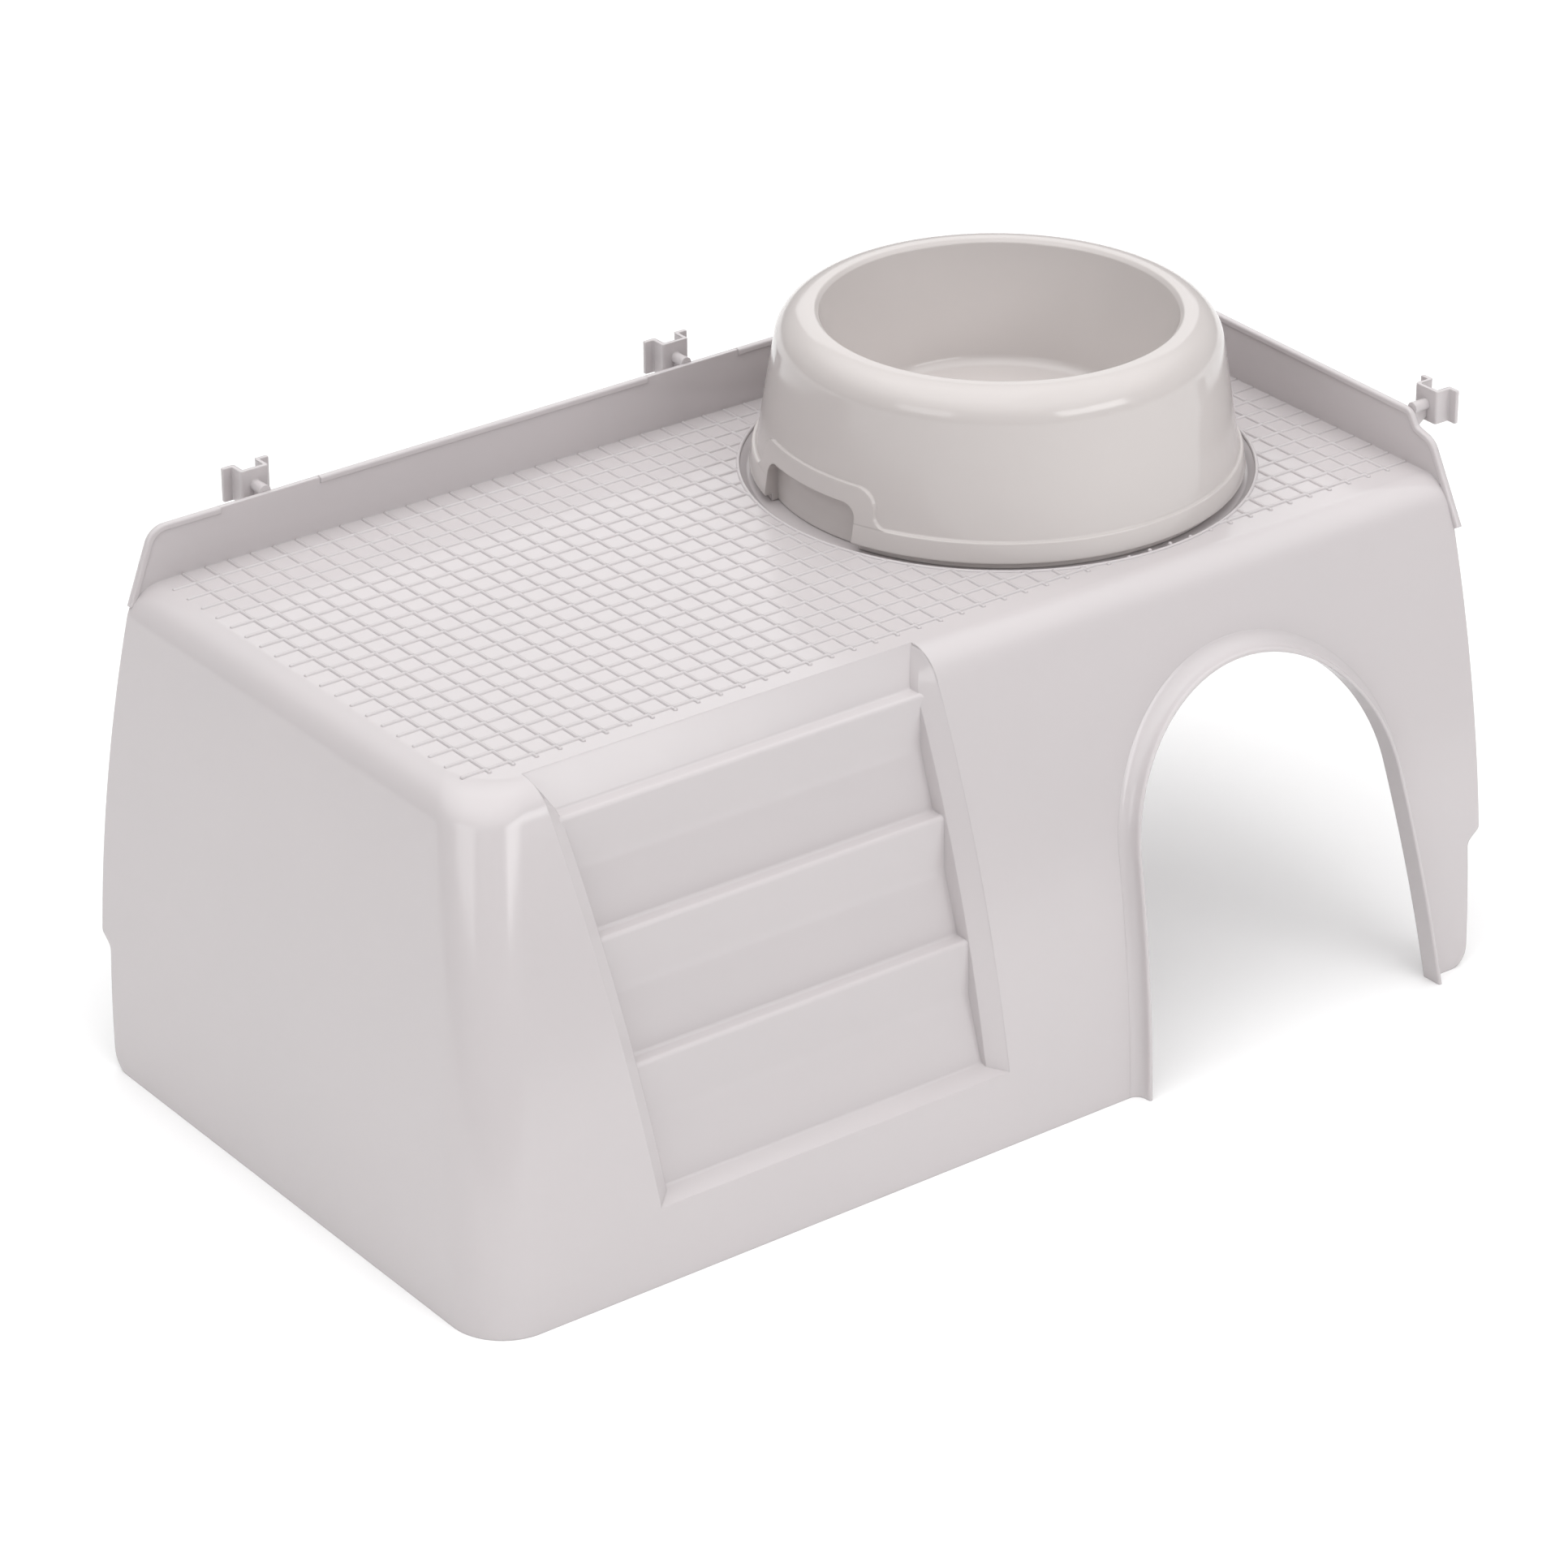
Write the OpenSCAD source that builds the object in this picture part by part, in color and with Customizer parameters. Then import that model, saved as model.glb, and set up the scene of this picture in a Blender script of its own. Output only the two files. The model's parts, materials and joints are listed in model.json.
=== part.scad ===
// Corner house for small animals, moulded in thin plastic: a front wall with steps and an
// arched doorway, a left wall, a roof deck with raised lips on its two cage sides, three
// clips that hook on cage wires, and a feeding bowl that lifts off the deck.
// Millimetres, +Z up, origin on the floor below the middle of the whole part.
// Layout axes: x from the left foot to the right lip, y from the front foot to the back lip.

/* [House] */
// Length from the left foot to the face of the right lip
house_length = 490; // [470:1:560]
// Depth from the front foot to the face of the back lip
house_depth = 278.5; // [260:0.5:330]
// Height of the deck above the floor
deck_height = 180; // [155:1:215]
// Thickness of the deck
deck_wall = 1.6; // [1.4:0.1:2.4]
// Thickness of the left wall, the front wall and the steps
wall = 3; // [2.4:0.1:3.6]
// Radius of the shoulder between the deck and the walls
shoulder_r = 16; // [13:1:20]
// Radius of the upright corner between the left wall and the front wall
corner_r = 22; // [16:1:30]
// Lean of the left wall just below the shoulder, degrees
side_lean_top = 18.6; // [15:0.1:22]
// Lean of the left wall at the floor, degrees
side_lean_foot = 2.9; // [1:0.1:6]
// Lean of the front wall just below the shoulder, degrees
front_lean_top = 25; // [20:0.5:28]
// Lean of the front wall at the floor, degrees
front_lean_foot = 8.3; // [5:0.1:12]

/* [Cage edges] */
// Inward lean of the two upright edges that stand against the cage, degrees
edge_lean = 7.3; // [5:0.1:9]
// Height above the floor of the notch in those edges
notch_height = 50; // [35:1:65]
// Depth of that notch
notch_depth = 6; // [3:0.5:8]
// Height of the lips above the deck at their free ends
lip_height = 22; // [18:1:28]
// Extra height of the lips where they meet
lip_rise = 3; // [0:0.5:5]
// Thickness of the lips
lip_wall = 2; // [1.6:0.1:2.6]
// Height of the bead along the top of a lip
bead_height = 2.5; // [2:0.1:3.5]
// How far the bead stands out from each face of a lip
bead_proud = 0.6; // [0.3:0.1:1]

/* [Deck ribs] */
// Spacing of the ribs that cross the deck both ways
rib_pitch = 10; // [8:0.5:14]
// Width of a rib
rib_width = 1.4; // [0.8:0.1:2]
// Height of a rib
rib_height = 0.7; // [0.4:0.1:1.2]
// Distance from the face of the right lip to the last column of ribs
rib_side = 13.4; // [10:0.1:16]
// Distance from the face of the back lip to the first row of ribs
rib_back = 12; // [10:0.5:16]

/* [Steps] */
// Distance from the left foot to the middle of the steps at the deck
step_centre = 151; // [140:0.5:165]
// Width of the step recess at the deck
step_width = 172; // [150:0.5:185]
// How much narrower the recess is at its foot
step_taper = 14; // [6:1:30]
// How far the recess drifts to the right on its way down
step_drift = 6; // [0:0.5:8]
// Drop from the deck to the first tread
first_rise = 14; // [10:0.5:18]
// Drop from the first tread to the second
step_rise = 43; // [36:0.5:45]
// How much more each step below that drops
rise_change = 2; // [0:0.5:3]
// Depth of each tread
tread = 6; // [4.5:0.1:7]
// Forward run of the first riser
first_run = 7; // [5:0.5:9]
// Forward run of each riser below the first tread
step_run = 9.2; // [8:0.1:10]
// Share of a riser's height above its crease
crease = 0.47; // [0.35:0.01:0.6]
// Lean of a riser above its crease, degrees
crease_lean = 3.5; // [1:0.5:8]
// Slope of the ledge below the last riser, degrees
ledge_slope = 18; // [8:1:24]

/* [Doorway] */
// Distance from the face of the right lip to the middle of the doorway
door_inset = 121; // [112:1:135]
// Radius of the arched head
door_r = 64; // [56:1:68]
// Height of the centre of the arch above the floor
door_spring = 83; // [70:1:88]
// Outward flare of the jambs, degrees
door_flare = 5.5; // [3:0.1:6.5]
// How far the collar stands out from the front wall
collar_out = 6.5; // [4:0.5:8]
// Thickness of the collar
collar_wall = 1.8; // [1.4:0.1:2.4]

/* [Bowl seat] */
// Distance from the face of the right lip to the middle of the bowl
bowl_inset = 128; // [120:1:140]
// Distance from the face of the back lip to the middle of the bowl
bowl_back = 106; // [104:0.5:110]
// Radius of the seat recess at the deck
seat_r = 100.5; // [92:0.5:101]
// Depth of the seat recess
seat_depth = 2.5; // [2:0.1:5]
// Width of the rib around the seat
seat_rib = 1.5; // [1:0.1:2]

/* [Bowl] */
// Height of the bowl above the deck
bowl_height = 64.5; // [50:0.5:80]
// Play between the bowl's foot and the wall of its seat
bowl_play = 3.4; // [1.5:0.1:5]
// Thickness of the bowl
bowl_wall = 1.3; // [1.1:0.1:2]
// Radius of the bowl's opening
mouth_r = 69.3; // [60:0.1:74]
// Radius of the bowl's flat floor
dish_r = 58; // [48:0.5:62]
// Height of the bowl's flat floor above the deck
dish_floor = 16; // [8:0.5:24]
// Height of the band around the foot, above the deck
band_height = 9; // [6:0.5:11]
// How far that band stands out
band_proud = 1.5; // [0.8:0.1:2]
// How much the band narrows from its foot to its top
band_draft = 1.3; // [0.5:0.1:2]
// Height of the band's foot above the ring that the bowl stands on
foot_lift = 3; // [0.5:0.1:4]
// How much narrower the bowl is at its top than above the band
top_draft = 9; // [6:0.5:12]
// Radius of the bowl's outer shoulder
bowl_round = 13.8; // [10:0.1:14]
// Half width of each finger recess
finger_half = 27; // [20:0.5:32]
// Height of each finger recess above the deck
finger_height = 15.7; // [12:0.1:18]
// Depth of each finger recess behind the foot band
finger_depth = 6.5; // [4.5:0.5:8]
// Width of the raised border around a finger recess
border = 7.5; // [6:0.5:10]

/* [Wire clips] */
// Distance from the left foot to the first back clip
clip_first = 95.5; // [85:0.5:110]
// Distance from the left foot to the second back clip
clip_second = 290.5; // [270:0.5:310]
// Distance from the back lip's face to the side clip
clip_side = 202; // [190:0.5:204]
// Width of a clip's channel
clip_width = 12.5; // [10:0.5:15]
// Height of a clip
clip_height = 13.5; // [11:0.5:16]
// Height of a clip's middle above the top of its lip
clip_lift = 1.7; // [0:0.1:3]
// Length of the neck from the lip to the channel
neck_length = 7; // [5:0.5:10]
// Thickness of the neck
neck_d = 4.6; // [3.5:0.1:5.5]
// Drop of the gusset below the neck, down the lip's face
gusset_drop = 10.5; // [8:0.5:12]
// Depth of the channel
channel_depth = 6.4; // [5:0.1:8]
// Width of each outward flange
flange = 4; // [3:0.1:5]
// Thickness of a clip's walls
clip_wall = 1.6; // [1.2:0.1:2]

/* [Hidden] */
// Facets of a rounded corner, of the hulled blocks and of the turned parts
corner_steps = 6;
hull_fn = 32;
turn_fn = 96;
// Number of levels in a hulled block and how tightly they crowd toward the deck
levels = 13;
level_power = 2.1;
// Thickness of a level's slice
slice = 1;
// Reach of a cutter past the faces it cuts
past = 20;
// Clearance below the bowl's foot, and the sink of one shape into the next
rest_gap = 0.3;
sink = 0.4;
// How far the ribs run past the last row, and the deck's bare strip along the front edge
rib_overrun = 2;
rib_front = 5;
// How much narrower the seat is at its floor
seat_slope = 3.4;
// Radii of the edge outlines
foot_r = 9;
notch_in_r = 4;
notch_out_r = 2.5;
notch_slope = 4;
lip_end_r = 9;
finger_round = 6;
step_edge_r = 1.5;

clip_reach = neck_length + clip_wall + channel_depth;
lip_top = deck_height + lip_height;
bowl_x = house_length - bowl_inset;
bowl_y = house_depth - bowl_back;
door_x = house_length - door_inset;
deck_x = run(deck_height, side_lean_top, side_lean_foot, 0);
deck_y = run(deck_height, front_lean_top, front_lean_foot, 0);
collar_y = run(deck_height, front_lean_top, front_lean_foot, collar_out) - deck_y;
mid_x = (house_length + clip_reach) / 2;
mid_y = (house_depth + clip_reach - collar_y) / 2;
foot_radius = seat_r - bowl_play - seat_rib / 2;
columns = floor((house_length - rib_side - deck_x) / rib_pitch);
rows = floor((house_depth - rib_back - deck_y - rib_front) / rib_pitch);
bowl_base = rest_gap - seat_depth;
skirt_r = foot_radius - band_draft - band_proud;
skirt_slope = top_draft / (bowl_height - band_height);

// Radius of a wall's long curve
function wall_r(top, foot) =
    (deck_height - shoulder_r * (1 - sin(top))) / (sin(top) - sin(foot));

// Outward run of a wall's face from the deck's edge, at a drop below the deck,
// on a face moved outward by grow
function run(drop, top, foot, grow) =
    let (r = shoulder_r + grow)
    let (d = max(drop + grow, 0))
    let (turn = r * (1 - sin(top)))
    let (big = wall_r(top, foot) + grow)
    let (s = d < turn ? 1 - d / r : sin(top) - (d - turn) / big)
    d < turn ? r * cos(asin(s)) : r * cos(top) + big * (cos(asin(s)) - cos(top));

function unit(v) = v / norm(v);

// Points of one rounded corner at b, between a and c
function corner(a, b, c, r) =
    let (u = unit(a - b))
    let (v = unit(c - b))
    let (half = acos(u * v) / 2)
    let (o = b + unit(u + v) * r / sin(half))
    let (p = b + u * r / tan(half) - o)
    let (q = b + v * r / tan(half) - o)
    let (start = atan2(p.y, p.x))
    let (sweep = (atan2(q.y, q.x) - start + 540) % 360 - 180)
    [for (i = [0 : corner_steps])
        let (t = start + sweep * i / corner_steps)
        o + r * [cos(t), sin(t)]];

// Closed outline through [x, y, radius] points
function rounded(pts) =
    [for (i = [0 : len(pts) - 1])
        let (b = pts[i])
        let (a = pts[(i + len(pts) - 1) % len(pts)])
        let (c = pts[(i + 1) % len(pts)])
        each b.z == 0
            ? [[b.x, b.y]]
            : corner([a.x, a.y], [b.x, b.y], [c.x, c.y], b.z)];

// Solid block inside the walls' faces, with those faces moved outward by side and front and
// its top moved by top
module block(side, front, top) {
    hull()
        for (i = [0 : levels])
            level(side, front, (deck_height + top) * (1 - pow(i / levels, level_power)));
}

// The block's four corners at height z, drawn down by one slice
module level(side, front, z) {
    x = deck_x - run(deck_height - z, side_lean_top, side_lean_foot, side);
    y = deck_y - run(deck_height - z, front_lean_top, front_lean_foot, front);
    r = corner_r + front;
    translate([x + r, y + r, z - slice]) cylinder(h = slice, r = r, $fn = hull_fn);
    for (p = [[house_length + past, y], [x, house_depth + past], [house_length + past, house_depth + past]])
        translate([p.x, p.y, z - slice]) cube([slice, slice, slice]);
}

// Outline of what stays inside an open edge whose face is at length far, in (distance, height)
function edge_outline(far) =
    let (low = notch_height - notch_slope / 2)
    let (high = notch_height + notch_slope / 2)
    rounded([
        [-past, 0, 0],
        [far - deck_height * tan(edge_lean) - notch_depth, 0, foot_r],
        [far - (deck_height - low) * tan(edge_lean) - notch_depth, low, notch_in_r],
        [far - (deck_height - high) * tan(edge_lean), high, notch_out_r],
        [far, deck_height, 0],
        [far, deck_height + past, 0],
        [-past, deck_height + past, 0]
    ]);

// Extrudes an (x, z) outline along y, between y0 and y1
module along_y(y0, y1) {
    translate([0, y1, 0]) rotate([90, 0, 0]) linear_extrude(y1 - y0) children();
}

// Extrudes a (y, z) outline along x, between x0 and x1
module along_x(x0, x1) {
    translate([x0, 0, 0]) rotate([90, 0, 90]) linear_extrude(x1 - x0) children();
}

// Height of a tread, counted from the deck
function tread_z(n) =
    deck_height - first_rise - n * step_rise - n * (n - 1) / 2 * rise_change;

// Front edge of a tread
function tread_y(n) = deck_y - first_run - tread - n * (step_run + tread);

// Outline corners of the riser below tread n, and of the tread at its foot
function riser(n) =
    let (fall = (tread_z(n) - tread_z(n + 1)) * crease)
    [
        [tread_y(n), tread_z(n), step_edge_r],
        [tread_y(n) - fall * tan(crease_lean), tread_z(n) - fall, 0],
        [tread_y(n) - step_run, tread_z(n + 1), step_edge_r]
    ];

// Space in front of the steps; grow moves its sides and back into the house
module step_space(grow) {
    foot = tread_z(3);
    half = step_width / 2 + grow;
    foot_half = half - step_taper / 2;
    foot_centre = step_centre + step_drift;
    reach = tread_y(2) - step_run + past;
    intersection() {
        translate([0, grow, -grow])
            along_x(step_centre - half - step_drift, step_centre + half + step_drift)
                polygon(rounded(concat(
                    [
                        [deck_y + 1, deck_height + past, 0],
                        [deck_y + 1, deck_height, step_edge_r],
                        [deck_y - first_run, tread_z(0), step_edge_r]
                    ],
                    riser(0),
                    riser(1),
                    riser(2),
                    [
                        [-past, foot - reach * tan(ledge_slope), 0],
                        [-past, deck_height + past, 0]
                    ]
                )));
        along_y(-past - 1, house_depth)
            polygon([
                [step_centre - half, deck_height + past],
                [step_centre - half, deck_height],
                [foot_centre - foot_half, foot],
                [foot_centre - foot_half, -1],
                [foot_centre + foot_half, -1],
                [foot_centre + foot_half, foot],
                [step_centre + half, deck_height],
                [step_centre + half, deck_height + past]
            ]);
    }
}

// Doorway outline in (x, z), moved outward by grow, reaching below the floor
module door_outline(grow) {
    r = door_r + grow;
    foot_half = r / cos(door_flare) + (door_spring + 2) * tan(door_flare);
    polygon(concat(
        [[door_x + foot_half, -2]],
        [for (t = [door_flare : (180 - 2 * door_flare) / 36 : 180 - door_flare])
            [door_x + r * cos(t), door_spring + r * sin(t)]],
        [[door_x - foot_half, -2]]
    ));
}

// Lip outlines; inset moves the top and the free end inward and drops the foot
module back_lip_outline(inset) {
    x = deck_x - 3 + inset;
    polygon(rounded([
        [x, lip_top - inset, lip_end_r],
        [x - 11, deck_height - 7, 0],
        [x - 4, deck_height - 8, 0],
        [deck_x + 4, deck_height - deck_wall, 0],
        [house_length, deck_height - deck_wall, 0],
        [house_length, lip_top + lip_rise - inset, 0]
    ]));
}

module side_lip_outline(inset) {
    y = deck_y + 12;
    polygon(rounded([
        [house_depth, deck_height - deck_wall, 0],
        [house_depth, lip_top + lip_rise - inset, 0],
        [y - 2 + inset, lip_top - inset, 4],
        [y - 6 + inset, lip_top - 6 - inset, 3],
        [y - 15 + inset, lip_top - 8.5 - inset, 9],
        [y - 32, deck_height - 17, 0],
        [y - 20, deck_height - 9, 0],
        [deck_y, deck_height - deck_wall, 0]
    ]));
}

module lips() {
    along_y(house_depth - lip_wall, house_depth) back_lip_outline(0);
    along_x(house_length - lip_wall, house_length) side_lip_outline(0);
    difference() {
        along_y(house_depth - lip_wall - bead_proud, house_depth) back_lip_outline(0);
        along_y(0, house_depth + 1) translate([0, -0.01, 0]) back_lip_outline(bead_height);
        translate([0, 0, deck_height - past]) cube([house_length, house_depth + 1, past]);
    }
    difference() {
        along_x(house_length - lip_wall - bead_proud, house_length) side_lip_outline(0);
        along_x(0, house_length + 1) translate([0, -0.01, 0]) side_lip_outline(bead_height);
        translate([0, 0, deck_height - past]) cube([house_length + 1, house_depth + 1, past]);
    }
}

// Space of the bowl's seat, with its wall and floor moved outward by grow
module seat_space(grow) {
    translate([bowl_x, bowl_y, deck_height])
        rotate_extrude($fn = turn_fn)
            polygon([
                [0, -seat_depth - grow],
                [seat_r - seat_slope + grow, -seat_depth - grow],
                [seat_r + grow, 0],
                [seat_r + grow, 1],
                [0, 1]
            ]);
}

module seat_ring() {
    translate([bowl_x, bowl_y, deck_height - sink])
        difference() {
            cylinder(h = rib_height + sink, r = seat_r + seat_rib / 2, $fn = turn_fn);
            translate([0, 0, -1]) cylinder(h = 3, r = seat_r - seat_rib / 2, $fn = turn_fn);
        }
}

// Crossing ribs on the deck, left out where the bowl sits
module deck_ribs() {
    x1 = house_length - rib_side;
    y1 = house_depth - rib_back;
    y0 = y1 - rows * rib_pitch - rib_overrun;
    translate([0, 0, deck_height - sink])
        linear_extrude(rib_height + sink)
            difference() {
                union() {
                    for (i = [0 : columns])
                        translate([x1 - i * rib_pitch - rib_width / 2, y0])
                            square([rib_width, house_depth - lip_wall - y0 + sink]);
                    for (j = [0 : rows])
                        translate([deck_x - 1, y1 - j * rib_pitch - rib_width / 2])
                            square([house_length - lip_wall - deck_x + 1 + sink, rib_width]);
                }
                translate([bowl_x, bowl_y]) circle(r = seat_r, $fn = turn_fn);
            }
}

module placed() {
    translate([-mid_x, -mid_y, 0]) children();
}

module house_shell() {
    color([0.82, 0.80, 0.78]) placed() {
        intersection() {
            difference() {
                union() {
                    block(0, 0, 0);
                    intersection() {
                        block(0, collar_out, 0);
                        along_y(-past, deck_y + 10) door_outline(collar_wall);
                    }
                }
                difference() {
                    block(-wall, -wall, -deck_wall);
                    step_space(wall);
                    seat_space(deck_wall);
                }
                step_space(0);
                along_y(-past - 1, deck_y + 40) door_outline(0);
                seat_space(0);
            }
            along_y(-past - 2, house_depth + past) polygon(edge_outline(house_length));
            along_x(-past - 2, house_length + past) polygon(edge_outline(house_depth));
        }
        lips();
        seat_ring();
        deck_ribs();
    }
}

// Bowl section in (radius, height above the deck), with the raised band around its foot
module bowl_section() {
    w = bowl_wall;
    top = bowl_height;
    low = bowl_base + foot_lift;
    polygon(rounded([
        [0, dish_floor, 0],
        [dish_r, dish_floor, 4],
        [mouth_r, top - 1.5, 0],
        [mouth_r + 1.5, top, 0],
        [skirt_r - top_draft, top, bowl_round],
        [skirt_r, band_height, 0],
        [skirt_r + band_proud, band_height, 0],
        [foot_radius, low, 0],
        [skirt_r - w / 2, low, 0],
        [skirt_r - w / 2, bowl_base, 0],
        [skirt_r - 3 * w / 2, bowl_base, 0],
        [skirt_r - w, band_height, 0],
        [skirt_r - top_draft - w, top - w, bowl_round - w],
        [mouth_r + w, top - w, 0],
        [dish_r + w, dish_floor - w, 2],
        [0, dish_floor - w, 0]
    ]));
}

// Section of the raised border of a finger recess
module border_section() {
    low = band_height - sink;
    high = finger_height + border + 1;
    outer = skirt_r + band_proud;
    polygon([
        [skirt_r - bowl_wall / 2, low],
        [outer - sink, low],
        [outer, band_height],
        [outer - (high - band_height) * skirt_slope, high],
        [skirt_r - bowl_wall / 2 - (high - band_height) * skirt_slope, high]
    ]);
}

// A ring between two radii, cut to both finger recesses' outline
module finger_block(r0, r1) {
    intersection() {
        for (s = [0, 180])
            rotate(s) along_x(0, r1 + 1) children();
        difference() {
            translate([0, 0, bowl_base - 1]) cylinder(h = bowl_height, r = r1, $fn = turn_fn);
            translate([0, 0, bowl_base - 2]) cylinder(h = bowl_height + 2, r = r0, $fn = turn_fn);
        }
    }
}

// Finger recess outline, moved outward by grow
module finger_outline(grow) {
    half = finger_half + grow;
    high = finger_height + grow;
    polygon(rounded([
        [-half, bowl_base, 0],
        [-half, high, finger_round + grow],
        [half, high, finger_round + grow],
        [half, bowl_base, 0]
    ]));
}

// Outline of the border, which flares into the top of the foot band
module border_outline() {
    half = finger_half + border;
    high = finger_height + border;
    foot = band_height - 2 * sink;
    polygon(rounded([
        [-half - 2 * finger_round, foot, 0],
        [-half - 2 * finger_round, band_height - sink / 2, 0],
        [-half, band_height - sink / 2, finger_round],
        [-half, high, finger_round + border / 3],
        [half, high, finger_round + border / 3],
        [half, band_height - sink / 2, finger_round],
        [half + 2 * finger_round, band_height - sink / 2, 0],
        [half + 2 * finger_round, foot, 0]
    ]));
}

module food_bowl() {
    r0 = foot_radius - finger_depth;
    color([0.80, 0.79, 0.76]) placed()
        translate([bowl_x, bowl_y, deck_height])
            difference() {
                union() {
                    rotate_extrude($fn = turn_fn) bowl_section();
                    intersection() {
                        rotate_extrude($fn = turn_fn) border_section();
                        finger_block(r0, foot_radius + 1) border_outline();
                    }
                    finger_block(r0 - bowl_wall, skirt_r - 3 * bowl_wall / 4)
                        intersection() {
                            finger_outline(bowl_wall);
                            translate([-bowl_x, bowl_base]) square([2 * bowl_x, bowl_height]);
                        }
                }
                translate([0, 0, -0.01]) finger_block(r0, foot_radius + 5) finger_outline(0);
            }
}

// A clip with its neck along +y from the origin, which is on the lip's face
module wire_clip() {
    y = neck_length;
    half = clip_width / 2;
    outer = half + flange;
    color([0.82, 0.80, 0.78]) {
        rotate([-90, 0, 0]) cylinder(h = y + clip_wall / 2, d = neck_d, $fn = 32);
        along_x(-clip_wall / 2, clip_wall / 2)
            polygon([[0, 0], [y + sink, 0], [y + sink, -neck_d], [0, -gusset_drop]]);
        translate([0, 0, -clip_height / 2]) linear_extrude(clip_height)
            polygon([
                [-half, y],
                [half, y],
                [half, y + channel_depth],
                [outer, y + channel_depth],
                [outer, y + clip_wall + channel_depth],
                [half - clip_wall, y + clip_wall + channel_depth],
                [half - clip_wall, y + clip_wall],
                [-half + clip_wall, y + clip_wall],
                [-half + clip_wall, y + clip_wall + channel_depth],
                [-outer, y + clip_wall + channel_depth],
                [-outer, y + channel_depth],
                [-half, y + channel_depth]
            ]);
    }
}

module back_clip(x) {
    placed()
        translate([x, house_depth, lip_top + clip_lift + lip_rise * x / house_length]) wire_clip();
}

module wire_clip_left() {
    back_clip(clip_first);
}

module wire_clip_right() {
    back_clip(clip_second);
}

module wire_clip_side() {
    placed() translate([house_length, house_depth - clip_side, lip_top + clip_lift]) rotate(-90) wire_clip();
}

house_shell();
food_bowl();
wire_clip_left();
wire_clip_right();
wire_clip_side();
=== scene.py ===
"""Scene of a moulded corner house for a small-animal cage and its lift-off feeding bowl.

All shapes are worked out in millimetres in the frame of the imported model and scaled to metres
when a mesh is made. The house shell, the bowl and the wire clips each have a class of their own.
"""

from __future__ import annotations

import json
import logging
import math
from dataclasses import dataclass, field
from enum import Enum
from typing import Iterable, Sequence

import bmesh
import bpy
from mathutils import Matrix, Vector


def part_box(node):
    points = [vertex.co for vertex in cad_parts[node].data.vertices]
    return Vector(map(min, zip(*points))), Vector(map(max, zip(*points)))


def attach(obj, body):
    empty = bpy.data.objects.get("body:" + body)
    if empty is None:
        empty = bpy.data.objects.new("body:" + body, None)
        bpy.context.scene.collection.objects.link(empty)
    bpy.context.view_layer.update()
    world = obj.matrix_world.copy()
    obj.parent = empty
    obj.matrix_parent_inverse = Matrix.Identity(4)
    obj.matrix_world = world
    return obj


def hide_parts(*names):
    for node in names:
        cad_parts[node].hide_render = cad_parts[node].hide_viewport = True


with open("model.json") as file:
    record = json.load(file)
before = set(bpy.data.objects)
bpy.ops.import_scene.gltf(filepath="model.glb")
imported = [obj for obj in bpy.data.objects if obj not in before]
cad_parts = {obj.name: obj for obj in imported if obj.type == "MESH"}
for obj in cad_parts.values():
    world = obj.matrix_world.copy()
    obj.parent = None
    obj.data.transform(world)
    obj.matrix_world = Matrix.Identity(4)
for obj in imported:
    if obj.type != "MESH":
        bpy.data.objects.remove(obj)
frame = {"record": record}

LOG = logging.getLogger("corner_house")

MM = 0.001
Point2 = tuple[float, float]
Corner = tuple[float, float, float]


class Body(Enum):
    """The rigid bodies that pieces ride on."""

    HOUSE = "house"
    BOWL = "bowl"


class Slot(Enum):
    """The record's material slots."""

    SHELL = "shell_plastic"
    BOWL = "bowl_plastic"


class Axis(Enum):
    """The direction that an outline is extruded along."""

    X = "x"
    Y = "y"


class Cut(Enum):
    """What a boolean does with its tool."""

    ADD = "UNION"
    REMOVE = "DIFFERENCE"
    KEEP = "INTERSECT"


# --------------------------------------------------------------------------------------
# Outlines and meshes
# --------------------------------------------------------------------------------------


def arc_corner(a: Vector, b: Vector, c: Vector, radius: float, steps: int) -> list[Point2]:
    """Rounds one corner of an outline.

    Args:
        a: The corner before.
        b: The corner to round.
        c: The corner after.
        radius: The radius of the round.
        steps: The number of segments.

    Returns:
        The points of the arc.
    """
    u, v = (a - b).normalized(), (c - b).normalized()
    half = u.angle(v) / 2
    centre = b + (u + v).normalized() * (radius / math.sin(half))
    p = b + u * (radius / math.tan(half)) - centre
    q = b + v * (radius / math.tan(half)) - centre
    start = math.atan2(p.y, p.x)
    sweep = (math.atan2(q.y, q.x) - start + math.pi) % (2 * math.pi) - math.pi
    return [
        (
            centre.x + radius * math.cos(start + sweep * i / steps),
            centre.y + radius * math.sin(start + sweep * i / steps),
        )
        for i in range(steps + 1)
    ]


def rounded(corners: Sequence[Corner], steps: int = 8) -> list[Point2]:
    """Makes a closed outline from corners that each have a radius.

    Args:
        corners: The corners, as (x, y, radius).
        steps: The number of segments of each round.

    Returns:
        The outline's points.
    """
    points: list[Point2] = []
    count = len(corners)
    for i, (x, y, radius) in enumerate(corners):
        if radius == 0:
            points.append((x, y))
            continue
        a, c = corners[i - 1], corners[(i + 1) % count]
        points += arc_corner(Vector(a[:2]), Vector((x, y)), Vector(c[:2]), radius, steps)
    return points


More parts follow.
